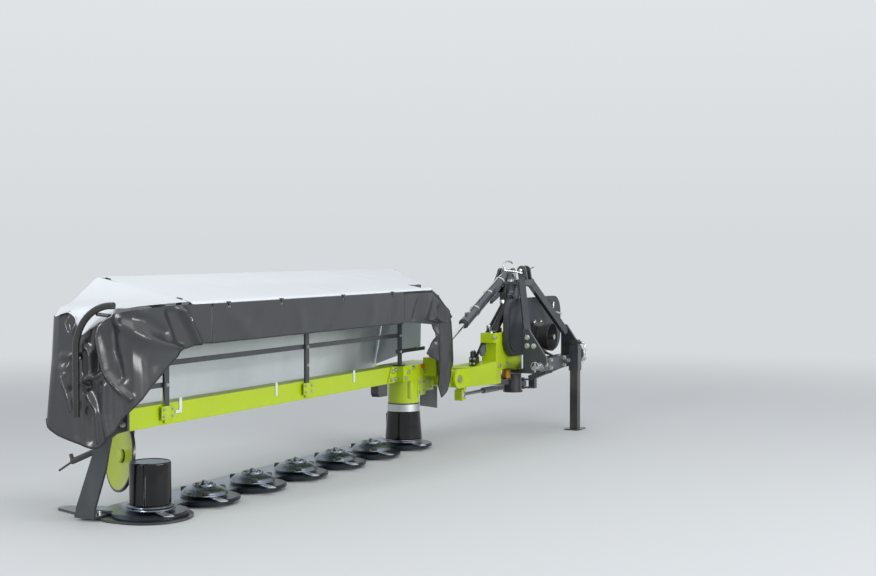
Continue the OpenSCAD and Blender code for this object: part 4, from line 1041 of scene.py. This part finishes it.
def tarpaulin(name, colour, shaded, roughness, weave_depth):
    """Coated polyester cloth: satin skin, with the weave printing through it."""
    material, tree, shader = new_finish(name, colour, roughness)
    place = add_node(tree, "TexCoord")
    clouds = add_node(tree, "TexNoise", {"Scale": 2.4, "Detail": 4.0, "Roughness": 0.55}, {
        "Vector": place.outputs["Object"],
    })
    tone = add_node(tree, "Mix", {"data_type": "RGBA", 6: linear(colour), 7: linear(shaded)}, {
        0: clouds.outputs["Fac"],
    })
    tree.links.new(tone.outputs[2], shader.inputs["Base Color"])
    dull = add_node(tree, "MapRange", {"To Min": roughness - 0.06, "To Max": roughness + 0.08}, {
        "Value": clouds.outputs["Fac"],
    })
    tree.links.new(dull.outputs[0], shader.inputs["Roughness"])
    # Threads are 1 mm apart; they are drawn at 5 mm so that they show
    across, along = [
        add_node(tree, "TexWave", {"Scale": 32.0, "bands_direction": axis}, {"Vector": place.outputs["UV"]})
        for axis in "XY"
    ]
    weave = add_node(tree, "Math", {"operation": "ADD"}, {0: across.outputs["Fac"], 1: along.outputs["Fac"]})
    # Soft crumples about 90 mm across
    crumple = add_node(tree, "TexNoise", {"Scale": 11.0, "Detail": 3.0, "Roughness": 0.5}, {
        "Vector": place.outputs["Object"],
    })
    threads = add_node(tree, "Bump", {"Strength": weave_depth, "Distance": 0.0004}, {
        "Height": weave.outputs[0],
    })
    folds = add_node(tree, "Bump", {"Strength": 0.22, "Distance": 0.006}, {
        "Height": crumple.outputs["Fac"],
        "Normal": threads.outputs[0],
    })
    tree.links.new(folds.outputs[0], shader.inputs["Normal"])
    return material


def cloth_piece(name, columns, rows, surface, finish, thickness=1.8, left_out=None, smooth=1):
    """A sheet of cloth laid over a grid of lengths in millimetres, then given its thickness. The
    surface gives the place of a column and a row; left_out tells which cells of the grid are cut."""
    spots = [surface(column, row) for row in rows for column in columns]
    wide = len(columns)
    faces = []
    for r in range(len(rows) - 1):
        for c in range(wide - 1):
            if left_out and left_out(columns[c], columns[c + 1], rows[r], rows[r + 1]):
                continue
            low = r * wide + c
            faces.append((low, low + 1, low + 1 + wide, low + wide))
    mesh = bpy.data.meshes.new(name)
    mesh.from_pydata([at(*spot) for spot in spots], [], faces)
    flat = mesh.uv_layers.new(name="cloth")
    for loop in mesh.loops:
        flat.data[loop.index].uv = (
            columns[loop.vertex_index % wide] / 1000,
            rows[loop.vertex_index // wide] / 1000,
        )
    piece = bpy.data.objects.new(name, mesh)
    bpy.context.collection.objects.link(piece)
    bpy.ops.object.select_all(action="DESELECT")
    piece.select_set(True)
    bpy.context.view_layer.objects.active = piece
    bpy.ops.object.mode_set(mode="EDIT")
    bpy.ops.mesh.select_all(action="SELECT")
    bpy.ops.mesh.delete_loose(use_verts=True, use_edges=True, use_faces=False)
    bpy.ops.mesh.select_all(action="SELECT")
    bpy.ops.mesh.remove_doubles(threshold=0.0001)
    close_edit()
    if smooth:
        subdivision = piece.modifiers.new("smooth", "SUBSURF")
        subdivision.levels = smooth
        subdivision.render_levels = smooth
        bpy.ops.object.modifier_apply(modifier=subdivision.name)
    wall = piece.modifiers.new("thickness", "SOLIDIFY")
    wall.thickness = thickness / 1000
    wall.offset = 0.0
    bpy.ops.object.modifier_apply(modifier=wall.name)
    bpy.ops.object.shade_smooth_by_angle(angle=math.radians(60))
    piece.data.materials.append(finish)
    return piece


def steps(start, end, count):
    """Even steps from start to end, both of them included."""
    return [start + (end - start) * i / count for i in range(count + 1)]


def fold_height(s, t, folds):
    """Height of the cloth over its even surface. A fold is its height and the places that its crest
    runs through, each with the fold's width there."""
    total = 0.0
    for rise, crest in folds:
        nearest = math.inf
        for (s0, t0, width0), (s1, t1, width1) in zip(crest, crest[1:]):
            run = (s1 - s0) ** 2 + (t1 - t0) ** 2
            share = max(0.0, min(1.0, ((s - s0) * (s1 - s0) + (t - t0) * (t1 - t0)) / run))
            away = math.hypot(s - s0 - share * (s1 - s0), t - t0 - share * (t1 - t0))
            nearest = min(nearest, away / (width0 + (width1 - width0) * share))
        total += rise * math.exp(-nearest ** 2)
    return total


tube_y = 205
tube_z = 972
slope = math.atan2(1076 - tube_z, tube_y + 295)


def cover_z(y):
    """Height of a straight cloth over the front tube and the ridge tube, in millimetres like y."""
    return tube_z + 13.4 / math.cos(slope) + (tube_y - y) * math.tan(slope)


light_pvc = tarpaulin("PVC-coated polyester, light grey", "#d9dde1", "#cdd2d8", 0.44, 0.25)
top_folds = [
    (-5, [(900, 60, 60), (1250, -160, 90)]), (4, [(1500, 150, 40), (1750, -240, 70)]),
    (5, [(2150, 180, 50), (2330, -260, 50)]), (-5, [(2700, 100, 60), (2900, -200, 80)]),
    (4, [(3250, 160, 40), (3400, -230, 60)]), (-4, [(1900, -60, 50), (2600, -90, 60)]),
    (4, [(1150, -60, 50), (1500, -200, 40)]),
]


# The slot for the lift cylinder is cut from the inner edge as far as here
slot_end = 1186


def top_surface(x, y):
    """Place on the top sheet: x runs out from the inner edge, which is cut at an angle, and y runs
    from the ridge to the hem that turns down round the front tube."""
    inner = 628 + (y + 311) / 517 * 443
    share = (x - 620) / (slot_end - 620)
    real_x = inner + (slot_end - inner) * share if x < slot_end else x
    if y > tube_y:
        turn = (y - tube_y) / 26 * 1.35
        return (real_x, tube_y + 15.5 * math.sin(turn), cover_z(tube_y) + 2.2 - 15 * (1 - math.cos(turn)))
    between = (tube_y - y) / 515
    sag = -9 * math.sin(math.pi * between) ** 2 * (0.75 + 0.25 * math.cos((x - 900) / 210))
    wave = fold_height(x, y, top_folds) * math.sin(math.pi * between)
    return (real_x, y, cover_z(y) + 3.5 + sag + wave)


top_rows = [231, 222, 213, 205, 197, 190] + steps(190, 100, 4)[1:] + steps(100, -310, 14)[1:]
top_sheet = cloth_piece(
    "top_sheet", steps(620, slot_end, 12) + steps(slot_end, 3472, 46)[1:], top_rows, top_surface, light_pvc,
    left_out=lambda x0, x1, y0, y1: x1 <= slot_end + 0.1 and y0 <= 190.1 and y1 >= 99.9,
)
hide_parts("top_cloth")
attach(top_sheet, "mower")
binding_black = moulded("black binding tape, woven", "#141517", 0.5, 2.0)
edge_places = [top_surface(x, 233) for x in steps(1100, 3468, 60)]
edge_rope = bent_rod("edge_rope", [at(x, y - 1, z - 0.5) for x, y, z in edge_places], 0.0028, 2)
gather("cover_edge_rope", [edge_rope], "mower", binding_black)

hang_folds = [
    (12, [(700, 0, 12), (690, 670, 28)]), (-10, [(790, 0, 10), (800, 600, 32)]),
    (13, [(905, 0, 12), (900, 670, 36)]), (-9, [(1010, 0, 12), (1015, 520, 32)]),
    (11, [(1130, 0, 14), (1100, 670, 38)]), (-9, [(1270, 0, 14), (1290, 460, 40)]),
    (10, [(1420, 0, 16), (1400, 670, 48)]), (-8, [(1600, 0, 20), (1640, 400, 44)]),
    (10, [(1800, 0, 18), (1770, 670, 50)]), (-8, [(2030, 0, 20), (2060, 460, 48)]),
    (10, [(2260, 0, 16), (2230, 670, 50)]), (-8, [(2480, 0, 20), (2500, 360, 44)]),
    (10, [(2700, 0, 18), (2680, 670, 48)]), (-9, [(2930, 0, 20), (2950, 460, 48)]),
    (11, [(3160, 0, 18), (3130, 670, 48)]), (-9, [(3340, 0, 16), (3360, 560, 36)]),
]


def rear_surface(x, t):
    """Place on the rear sheet: t runs down from the ridge."""
    share = t / 670
    wave = fold_height(x, t, hang_folds) * min(1.0, share * 1.5)
    return (x, -312 - 126 * share + wave, 1097 - 657 * share + 3 * math.sin(x / 170) * share)


rear_sheet = cloth_piece("rear_sheet", steps(620, 3460, 110), steps(0, 670, 16), rear_surface, light_pvc)
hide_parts("rear_cloth")
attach(rear_sheet, "mower")


# Inner wall of the cover
# The rear sheet turns the corner and closes the inner end as far as the slot for the lift
# cylinder. It hangs free above the hinge and is creased where the slot's edge pulls at it.

wall_folds = [
    (13, [(60, 0, 14), (130, 440, 40)]), (-12, [(150, 0, 12), (210, 520, 30)]),
    (12, [(250, 0, 14), (300, 480, 34)]), (-11, [(330, 0, 12), (390, 400, 26)]),
    (10, [(420, 0, 12), (430, 340, 22)]), (11, [(470, 20, 16), (380, 310, 24)]),
]


def wall_surface(s, t):
    """Place on the inner wall: s runs forward from the rear corner, t down from the cover."""
    share = s / 520
    top = Vector((622 + 343 * share, -309 + 394 * share, cover_z(-309 + 394 * share) - 8))
    foot = Vector((640 + 325 * share, -422 + 500 * share, 470 + 150 * share))
    spot = top.lerp(foot, t / 640)
    aside = Vector((0.75, -0.66, 0))
    spot += aside * fold_height(s, t, wall_folds) * min(1.0, t / 120)
    return tuple(spot)


wall_sheet = cloth_piece("inner_wall_sheet", steps(0, 520, 40), steps(0, 640, 22), wall_surface, light_pvc)
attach(wall_sheet, "mower")


# Front band
# A dark-grey PVC band that hangs from a rod and swings up, so that the discs can be reached. Its
# hem is bound in black.

dark_pvc = tarpaulin("PVC-coated polyester, dark grey", "#2a2c2f", "#212326", 0.28, 0.12)
dark_pvc.node_tree.nodes["Principled BSDF"].inputs["Specular IOR Level"].default_value = 0.85
drop = 177
band_folds = [
    (7, [(3240, 0, 30), (3000, drop, 60)]), (-5, [(2930, 0, 20), (3080, drop, 40)]),
    (5, [(2600, 0, 30), (2560, drop, 50)]), (-5, [(2200, 20, 30), (2350, drop, 60)]),
    (5, [(1800, 0, 30), (1850, drop, 50)]), (-6, [(1560, 0, 20), (1640, drop, 40)]),
]


def band_surface(x, t):
    """Place on the band: x runs out along its rod, t down from the rod."""
    share = t / drop
    return (x, 226 + 3.6 * (1 - share) + fold_height(x, t, band_folds) * min(1.0, share * 2.4), tube_z - t)


# Notches in the band's upper edge leave the four eyes of its rod free
notches = (1600, 2150, 2750, 3200)


def in_notch(x0, x1, y0, y1):
    """Whether a cell of the band's grid lies in a notch."""
    return y0 < 21 and any(x0 >= x - 13.1 and x1 <= x + 13.1 for x in notches)


band = cloth_piece(
    "front_band_sheet", sorted(steps(1462, 3330, 84) + [x + side for x in notches for side in (-13, 13)]),
    [0, 22] + steps(22, drop, 9)[1:], band_surface, dark_pvc, smooth=0, left_out=in_notch,
)
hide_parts("front_band")
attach(band, "flap")
band_rod = bent_rod("band_rod", [at(x, 224.5, tube_z) for x in (1472, 2400, 3320)], 0.005, 4)
gather("band_hinge_rod", [band_rod], "flap", slate_enamel)
hem_line = bent_rod("band_hem", [
    at(x, 226.5 + fold_height(x, drop, band_folds), tube_z - drop) for x in steps(1463, 3329, 60)
], 0.003, 2)
gather("band_binding", [hem_line], "flap", binding_black)


# Inner curtain
# The dark PVC curtain that closes the inner end, laced to the bent front tube and bound in black.

curtain_folds = [
    (16, [(110, 30, 22), (70, 430, 46)]), (-14, [(190, 100, 20), (150, 560, 40)]),
    (12, [(240, 140, 18), (215, 500, 30)]), (-10, [(20, 120, 18), (40, 480, 36)]),
    (13, [(230, 250, 26), (380, 290, 14)]), (-10, [(260, 300, 16), (400, 340, 10)]),
    (12, [(300, -20, 30), (400, 130, 40)]), (-10, [(430, -20, 24), (520, 150, 36)]),
]
curtain_outline = [
    # height, inner edge, outer edge
    (962, 1085, 1454), (940, 1046, 1454), (915, 990, 1454), (880, 938, 1454), (836, 874, 1454),
    (800, 832, 1454), (770, 818, 1098), (735, 816, 1078), (700, 813, 1060), (672, 811, 1076),
    (648, 809, 1092), (622, 808, 1134), (600, 808, 1172), (582, 807, 1128), (562, 806.5, 1072),
    (548, 806, 1030), (511, 806, 1023), (466, 826, 1017), (420, 846, 1012), (391, 862, 1008),
    (370, 876, 997), (346, 891, 983), (330, 931, 976), (317, 962, 972),
]
last_row = len(curtain_outline) - 1


def curtain_surface(s, t):
    """Place on the curtain: s runs across it from 0 to 1, t counts the outline's rows."""
    low = int(min(t, last_row - 1))
    share = t - low
    above = curtain_outline[low]
    below = curtain_outline[low + 1]
    z = above[0] + (below[0] - above[0]) * share
    inner = above[1] + (below[1] - above[1]) * share
    outer = above[2] + (below[2] - above[2]) * share
    x = inner + (outer - inner) * s
    rise = fold_height(x - 800, 962 - z, curtain_folds) * min(1.0, (970 - z) / 60)
    return (x, 226 + rise, z)


def weave_along(piece, first, second):
    """Lays the weave along two axes, 0 to 2, of a cloth that isn't made over a grid of lengths."""
    for loop in piece.data.loops:
        co = piece.data.vertices[loop.vertex_index].co
        piece.data.uv_layers["cloth"].data[loop.index].uv = (co[first], co[second])


curtain = cloth_piece(
    "inner_curtain_sheet", steps(0, 1, 26), steps(0, last_row, 46), curtain_surface, dark_pvc, smooth=0,
)
weave_along(curtain, 0, 2)
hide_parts("inner_curtain")
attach(curtain, "mower")
down_inside = [curtain_surface(0, row) for row in steps(0, last_row, 30)]
up_outside = [curtain_surface(1, row) for row in steps(last_row, 6, 22)]
curtain_edge = bent_rod("curtain_edge", [at(*spot) for spot in down_inside + up_outside], 0.0035, 2)
gather("curtain_binding", [curtain_edge], "mower", binding_black)


# Outer wing: hoop, arms and its two sheets
# A black-enamelled tube frame hinged to the cover. The light sheet lies over it, and the dark
# curtain hangs from it in one piece round the corner, tucked and creased by the hoop.

hoop_black = enamel("black enamel on hoop", "#1c1e20", "#66645e", 0.22, 0.2)
dress("wing_frame", hoop_black)
wing_stations = [
    # along the cloth, top place, lower place
    (0, (3333.5, 226, 976), (3333.5, 226, 796)), (99, (3434, 225, 977), (3434, 225, 801)),
    (202, (3537, 225, 978), (3537, 225, 780)), (318, (3653, 225, 977), (3653, 225, 713)),
    (452, (3787, 225, 972), (3787, 225, 622)), (491, (3825, 217, 969), (3825, 217, 584)),
    (530, (3858, 195, 965), (3858, 195, 548)), (569, (3880, 162, 958), (3880, 162, 512)),
    (609, (3889, 124, 948), (3888, 124, 450)), (640, (3890, 92, 936), (3888, 92, 420)),
    (690, (3891, 43, 912), (3888, 43, 377)), (715, (3891, 18, 898), (3888, 18, 368)),
    (746, (3891, -13, 882), (3888, -13, 365)), (785, (3891, -52, 856), (3888, -52, 374)),
    (806, (3889, -73, 878), (3888, -73, 381)), (822, (3886, -89, 934), (3888, -89, 384)),
    (862, (3881, -129, 958), (3888, -129, 394)), (900, (3877, -167, 948), (3888, -167, 404)),
    (930, (3874, -197, 936), (3888, -197, 414)), (975, (3856, -240, 924), (3885, -242, 438)),
    (1020, (3812, -282, 930), (3868, -268, 476)), (1100, (3733, -304, 934), (3815, -296, 500)),
    (1300, (3602, -307, 1012), (3680, -304, 500)), (1420, (3495, -307, 1074), (3560, -305, 500)),
]


def wing_base(s, t):
    """Place on the even curtain: s runs along it from the front, t down from 0 to 1."""
    for low, high in zip(wing_stations, wing_stations[1:]):
        if s <= high[0]:
            break
    share = (s - low[0]) / (high[0] - low[0])
    top = Vector(low[1]).lerp(Vector(high[1]), share)
    foot = Vector(low[2]).lerp(Vector(high[2]), share)
    return top.lerp(foot, t)


# Folds, by their place along the cloth and their height above the ground
wing_folds = [
    # Roll over the joint with the band
    (34, [(262, 1000, 18), (185, 900, 17), (108, 790, 14)]),
    (-18, [(228, 1000, 12), (150, 900, 11), (76, 800, 10)]),
    (-15, [(330, 1000, 30), (215, 780, 30)]),
    # Tuck at the front corner, and the long folds that run from it towards the hem
    (30, [(684, 956, 11), (697, 867, 14), (677, 783, 16), (652, 700, 14), (604, 643, 11), (540, 588, 10)]),
    (-22, [(640, 960, 26), (622, 800, 34), (585, 680, 30)]),
    (20, [(639, 950, 16), (575, 902, 24), (484, 846, 26), (347, 808, 18), (215, 788, 10)]),
    (-14, [(560, 960, 26), (440, 906, 30), (330, 860, 22)]),
    (-10, [(520, 790, 44), (430, 720, 40)]),
    # Dark fold beside the front corner and the smooth panel below it
    (-20, [(712, 930, 10), (709, 820, 13), (712, 700, 12)]),
    (14, [(660, 640, 22), (664, 520, 26), (640, 420, 24)]),
    # Pouch under the foot of the hoop, with its bright lip
    (24, [(785, 826, 14), (736, 774, 14), (731, 697, 14), (753, 653, 12)]),
    (-20, [(768, 780, 18), (766, 700, 18)]),
    (24, [(787, 651, 12), (737, 671, 12), (681, 690, 9)]),
    (-18, [(770, 612, 14), (746, 640, 13)]),
    (20, [(770, 626, 14), (737, 576, 16), (705, 525, 15), (695, 405, 16)]),
    (-16, [(742, 520, 28), (736, 400, 32)]),
    # Side behind the hoop
    (15, [(905, 760, 12), (858, 761, 10)]), (-14, [(884, 725, 13), (890, 690, 12)]),
    (18, [(881, 717, 12), (899, 664, 14), (860, 578, 16), (844, 527, 14)]),
    (-14, [(848, 740, 16), (846, 620, 16)]), (12, [(944, 700, 40), (975, 480, 60)]),
    (-8, [(815, 560, 22), (808, 420, 30)]),
    # Ear of cloth drawn up to the hinge of the hoop
    (16, [
        (840, 858, 8), (862, 862, 8), (879, 900, 8), (862, 948, 8), (832, 952, 8), (820, 910, 8),
        (840, 858, 8),
    ]),
]


wing_end = 1420


def wing_surface(s, t):
    """Place on the creased curtain: s runs along it from the front, t down from 0 to 1."""
    spot = wing_base(s, t)
    ahead = wing_base(min(s + 6, wing_end), t) - wing_base(max(s - 6, 0), t)
    down = wing_base(s, min(t + 0.02, 1)) - wing_base(s, max(t - 0.02, 0))
    out = down.cross(ahead).normalized()
    # Folds rise away from the machine: forwards and outwards as far as the rear corner at 1000,
    # backwards beyond it
    away = Vector((1, 0.6, 0)) if s < 1000 else Vector((0, -1, 0))
    if out.dot(away) < 0:
        out = -out
    hold = min(1.0, t * 9)
    spot += out * fold_height(s, spot.z, wing_folds) * hold
    return tuple(spot)


# The grid is closest where the folds are sharpest
wing_columns = [0]
for end, count in ((452, 46), (609, 22), (930, 64), (1100, 18), (wing_end, 12)):
    wing_columns += steps(wing_columns[-1], end, count)[1:]
wing_sheet = cloth_piece("wing_curtain_sheet", wing_columns, steps(0, 1, 60), wing_surface, dark_pvc)
for loop in wing_sheet.data.loops:
    uv = wing_sheet.data.uv_layers["cloth"].data[loop.index].uv
    uv.y = wing_sheet.data.vertices[loop.vertex_index].co.z
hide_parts("wing_curtain")
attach(wing_sheet, "wing")
lower_edge = [wing_surface(s, 1) for s in steps(0, wing_end, 110)]
lower_hem = bent_rod("lower_hem", [at(*spot) for spot in lower_edge], 0.0042, 2)
gather("wing_binding", [lower_hem], "wing", binding_black)
# Rivet beside the hoop and the ring of the clip on the roll
rivet = turned("rivet", [(9, -2), (9, 1), (7, 3.4), (3, 4.6)], 20)
point_along(rivet, at(3896, -66, 756), (1, 0, 0))
clip_ring = bent_rod("clip_ring", [
    at(3519 + 9 * math.cos(a), 249, 911 + 9 * math.sin(a)) for a in round_angles()
], 0.0024)
gather("curtain_clips", [rivet, clip_ring], "wing", zinc)


def wing_top_surface(s, t):
    """Place on the wing's light sheet: s runs out from 0 to 1, t back from the front edge."""
    x = 3489 + s * 403
    # The rear edge falls steeply as far as the bend, then turns in towards the corner
    bend = 0.45
    if s < bend:
        k = s / bend
        front = (209, cover_z(tube_y) + 4 - 3 * k)
        back = (-309 + 9 * k, cover_z(-310) + 3 - 108 * k)
    else:
        k = (s - bend) / (1 - bend)
        front = (209 - 14 * k * k, cover_z(tube_y) + 1 - 6 * k)
        back = (-300 + 94 * k, cover_z(-310) - 105 - 30 * k)
    y = front[0] + (back[0] - front[0]) * t
    z = front[1] + (back[1] - front[1]) * t
    sag = 9 * math.sin(math.pi * t) * math.sin(math.pi * s)
    # The outer edge is drawn down to the curtain's seam below the hoop
    foot = z
    for low, high in zip(wing_stations[8:], wing_stations[9:]):
        if low[1][1] >= y >= high[1][1]:
            foot = low[1][2] + (high[1][2] - low[1][2]) * (low[1][1] - y) / (low[1][1] - high[1][1])
    pull = max(0.0, (s - 0.8) / 0.2) ** 1.6
    return (x - 26 * max(0.0, 0.98 - s) * pull, y, z + sag - max(0.0, z - foot + 4) * pull)


wing_light = cloth_piece(
    "wing_top_sheet", steps(0, 0.8, 14) + steps(0.8, 1, 8)[1:], steps(0, 1, 34), wing_top_surface, light_pvc,
)
weave_along(wing_light, 0, 1)
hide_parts("wing_top")
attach(wing_light, "wing")


# Straps on the beam
# Three short white PVC straps that lie on the front of the beam. The outer one ends in a foot that
# is bent along the beam.

strap_y = 47.5
beam_straps = [block(at(x, strap_y, 500), (0.02, 0.004, 0.07), 0.001) for x in (3335, 2527, 1728)]
beam_straps.append(block(at(3359.5, strap_y, 472), (0.03, 0.004, 0.014), 0.001))
gather("beam_straps", beam_straps, "mower", light_pvc)
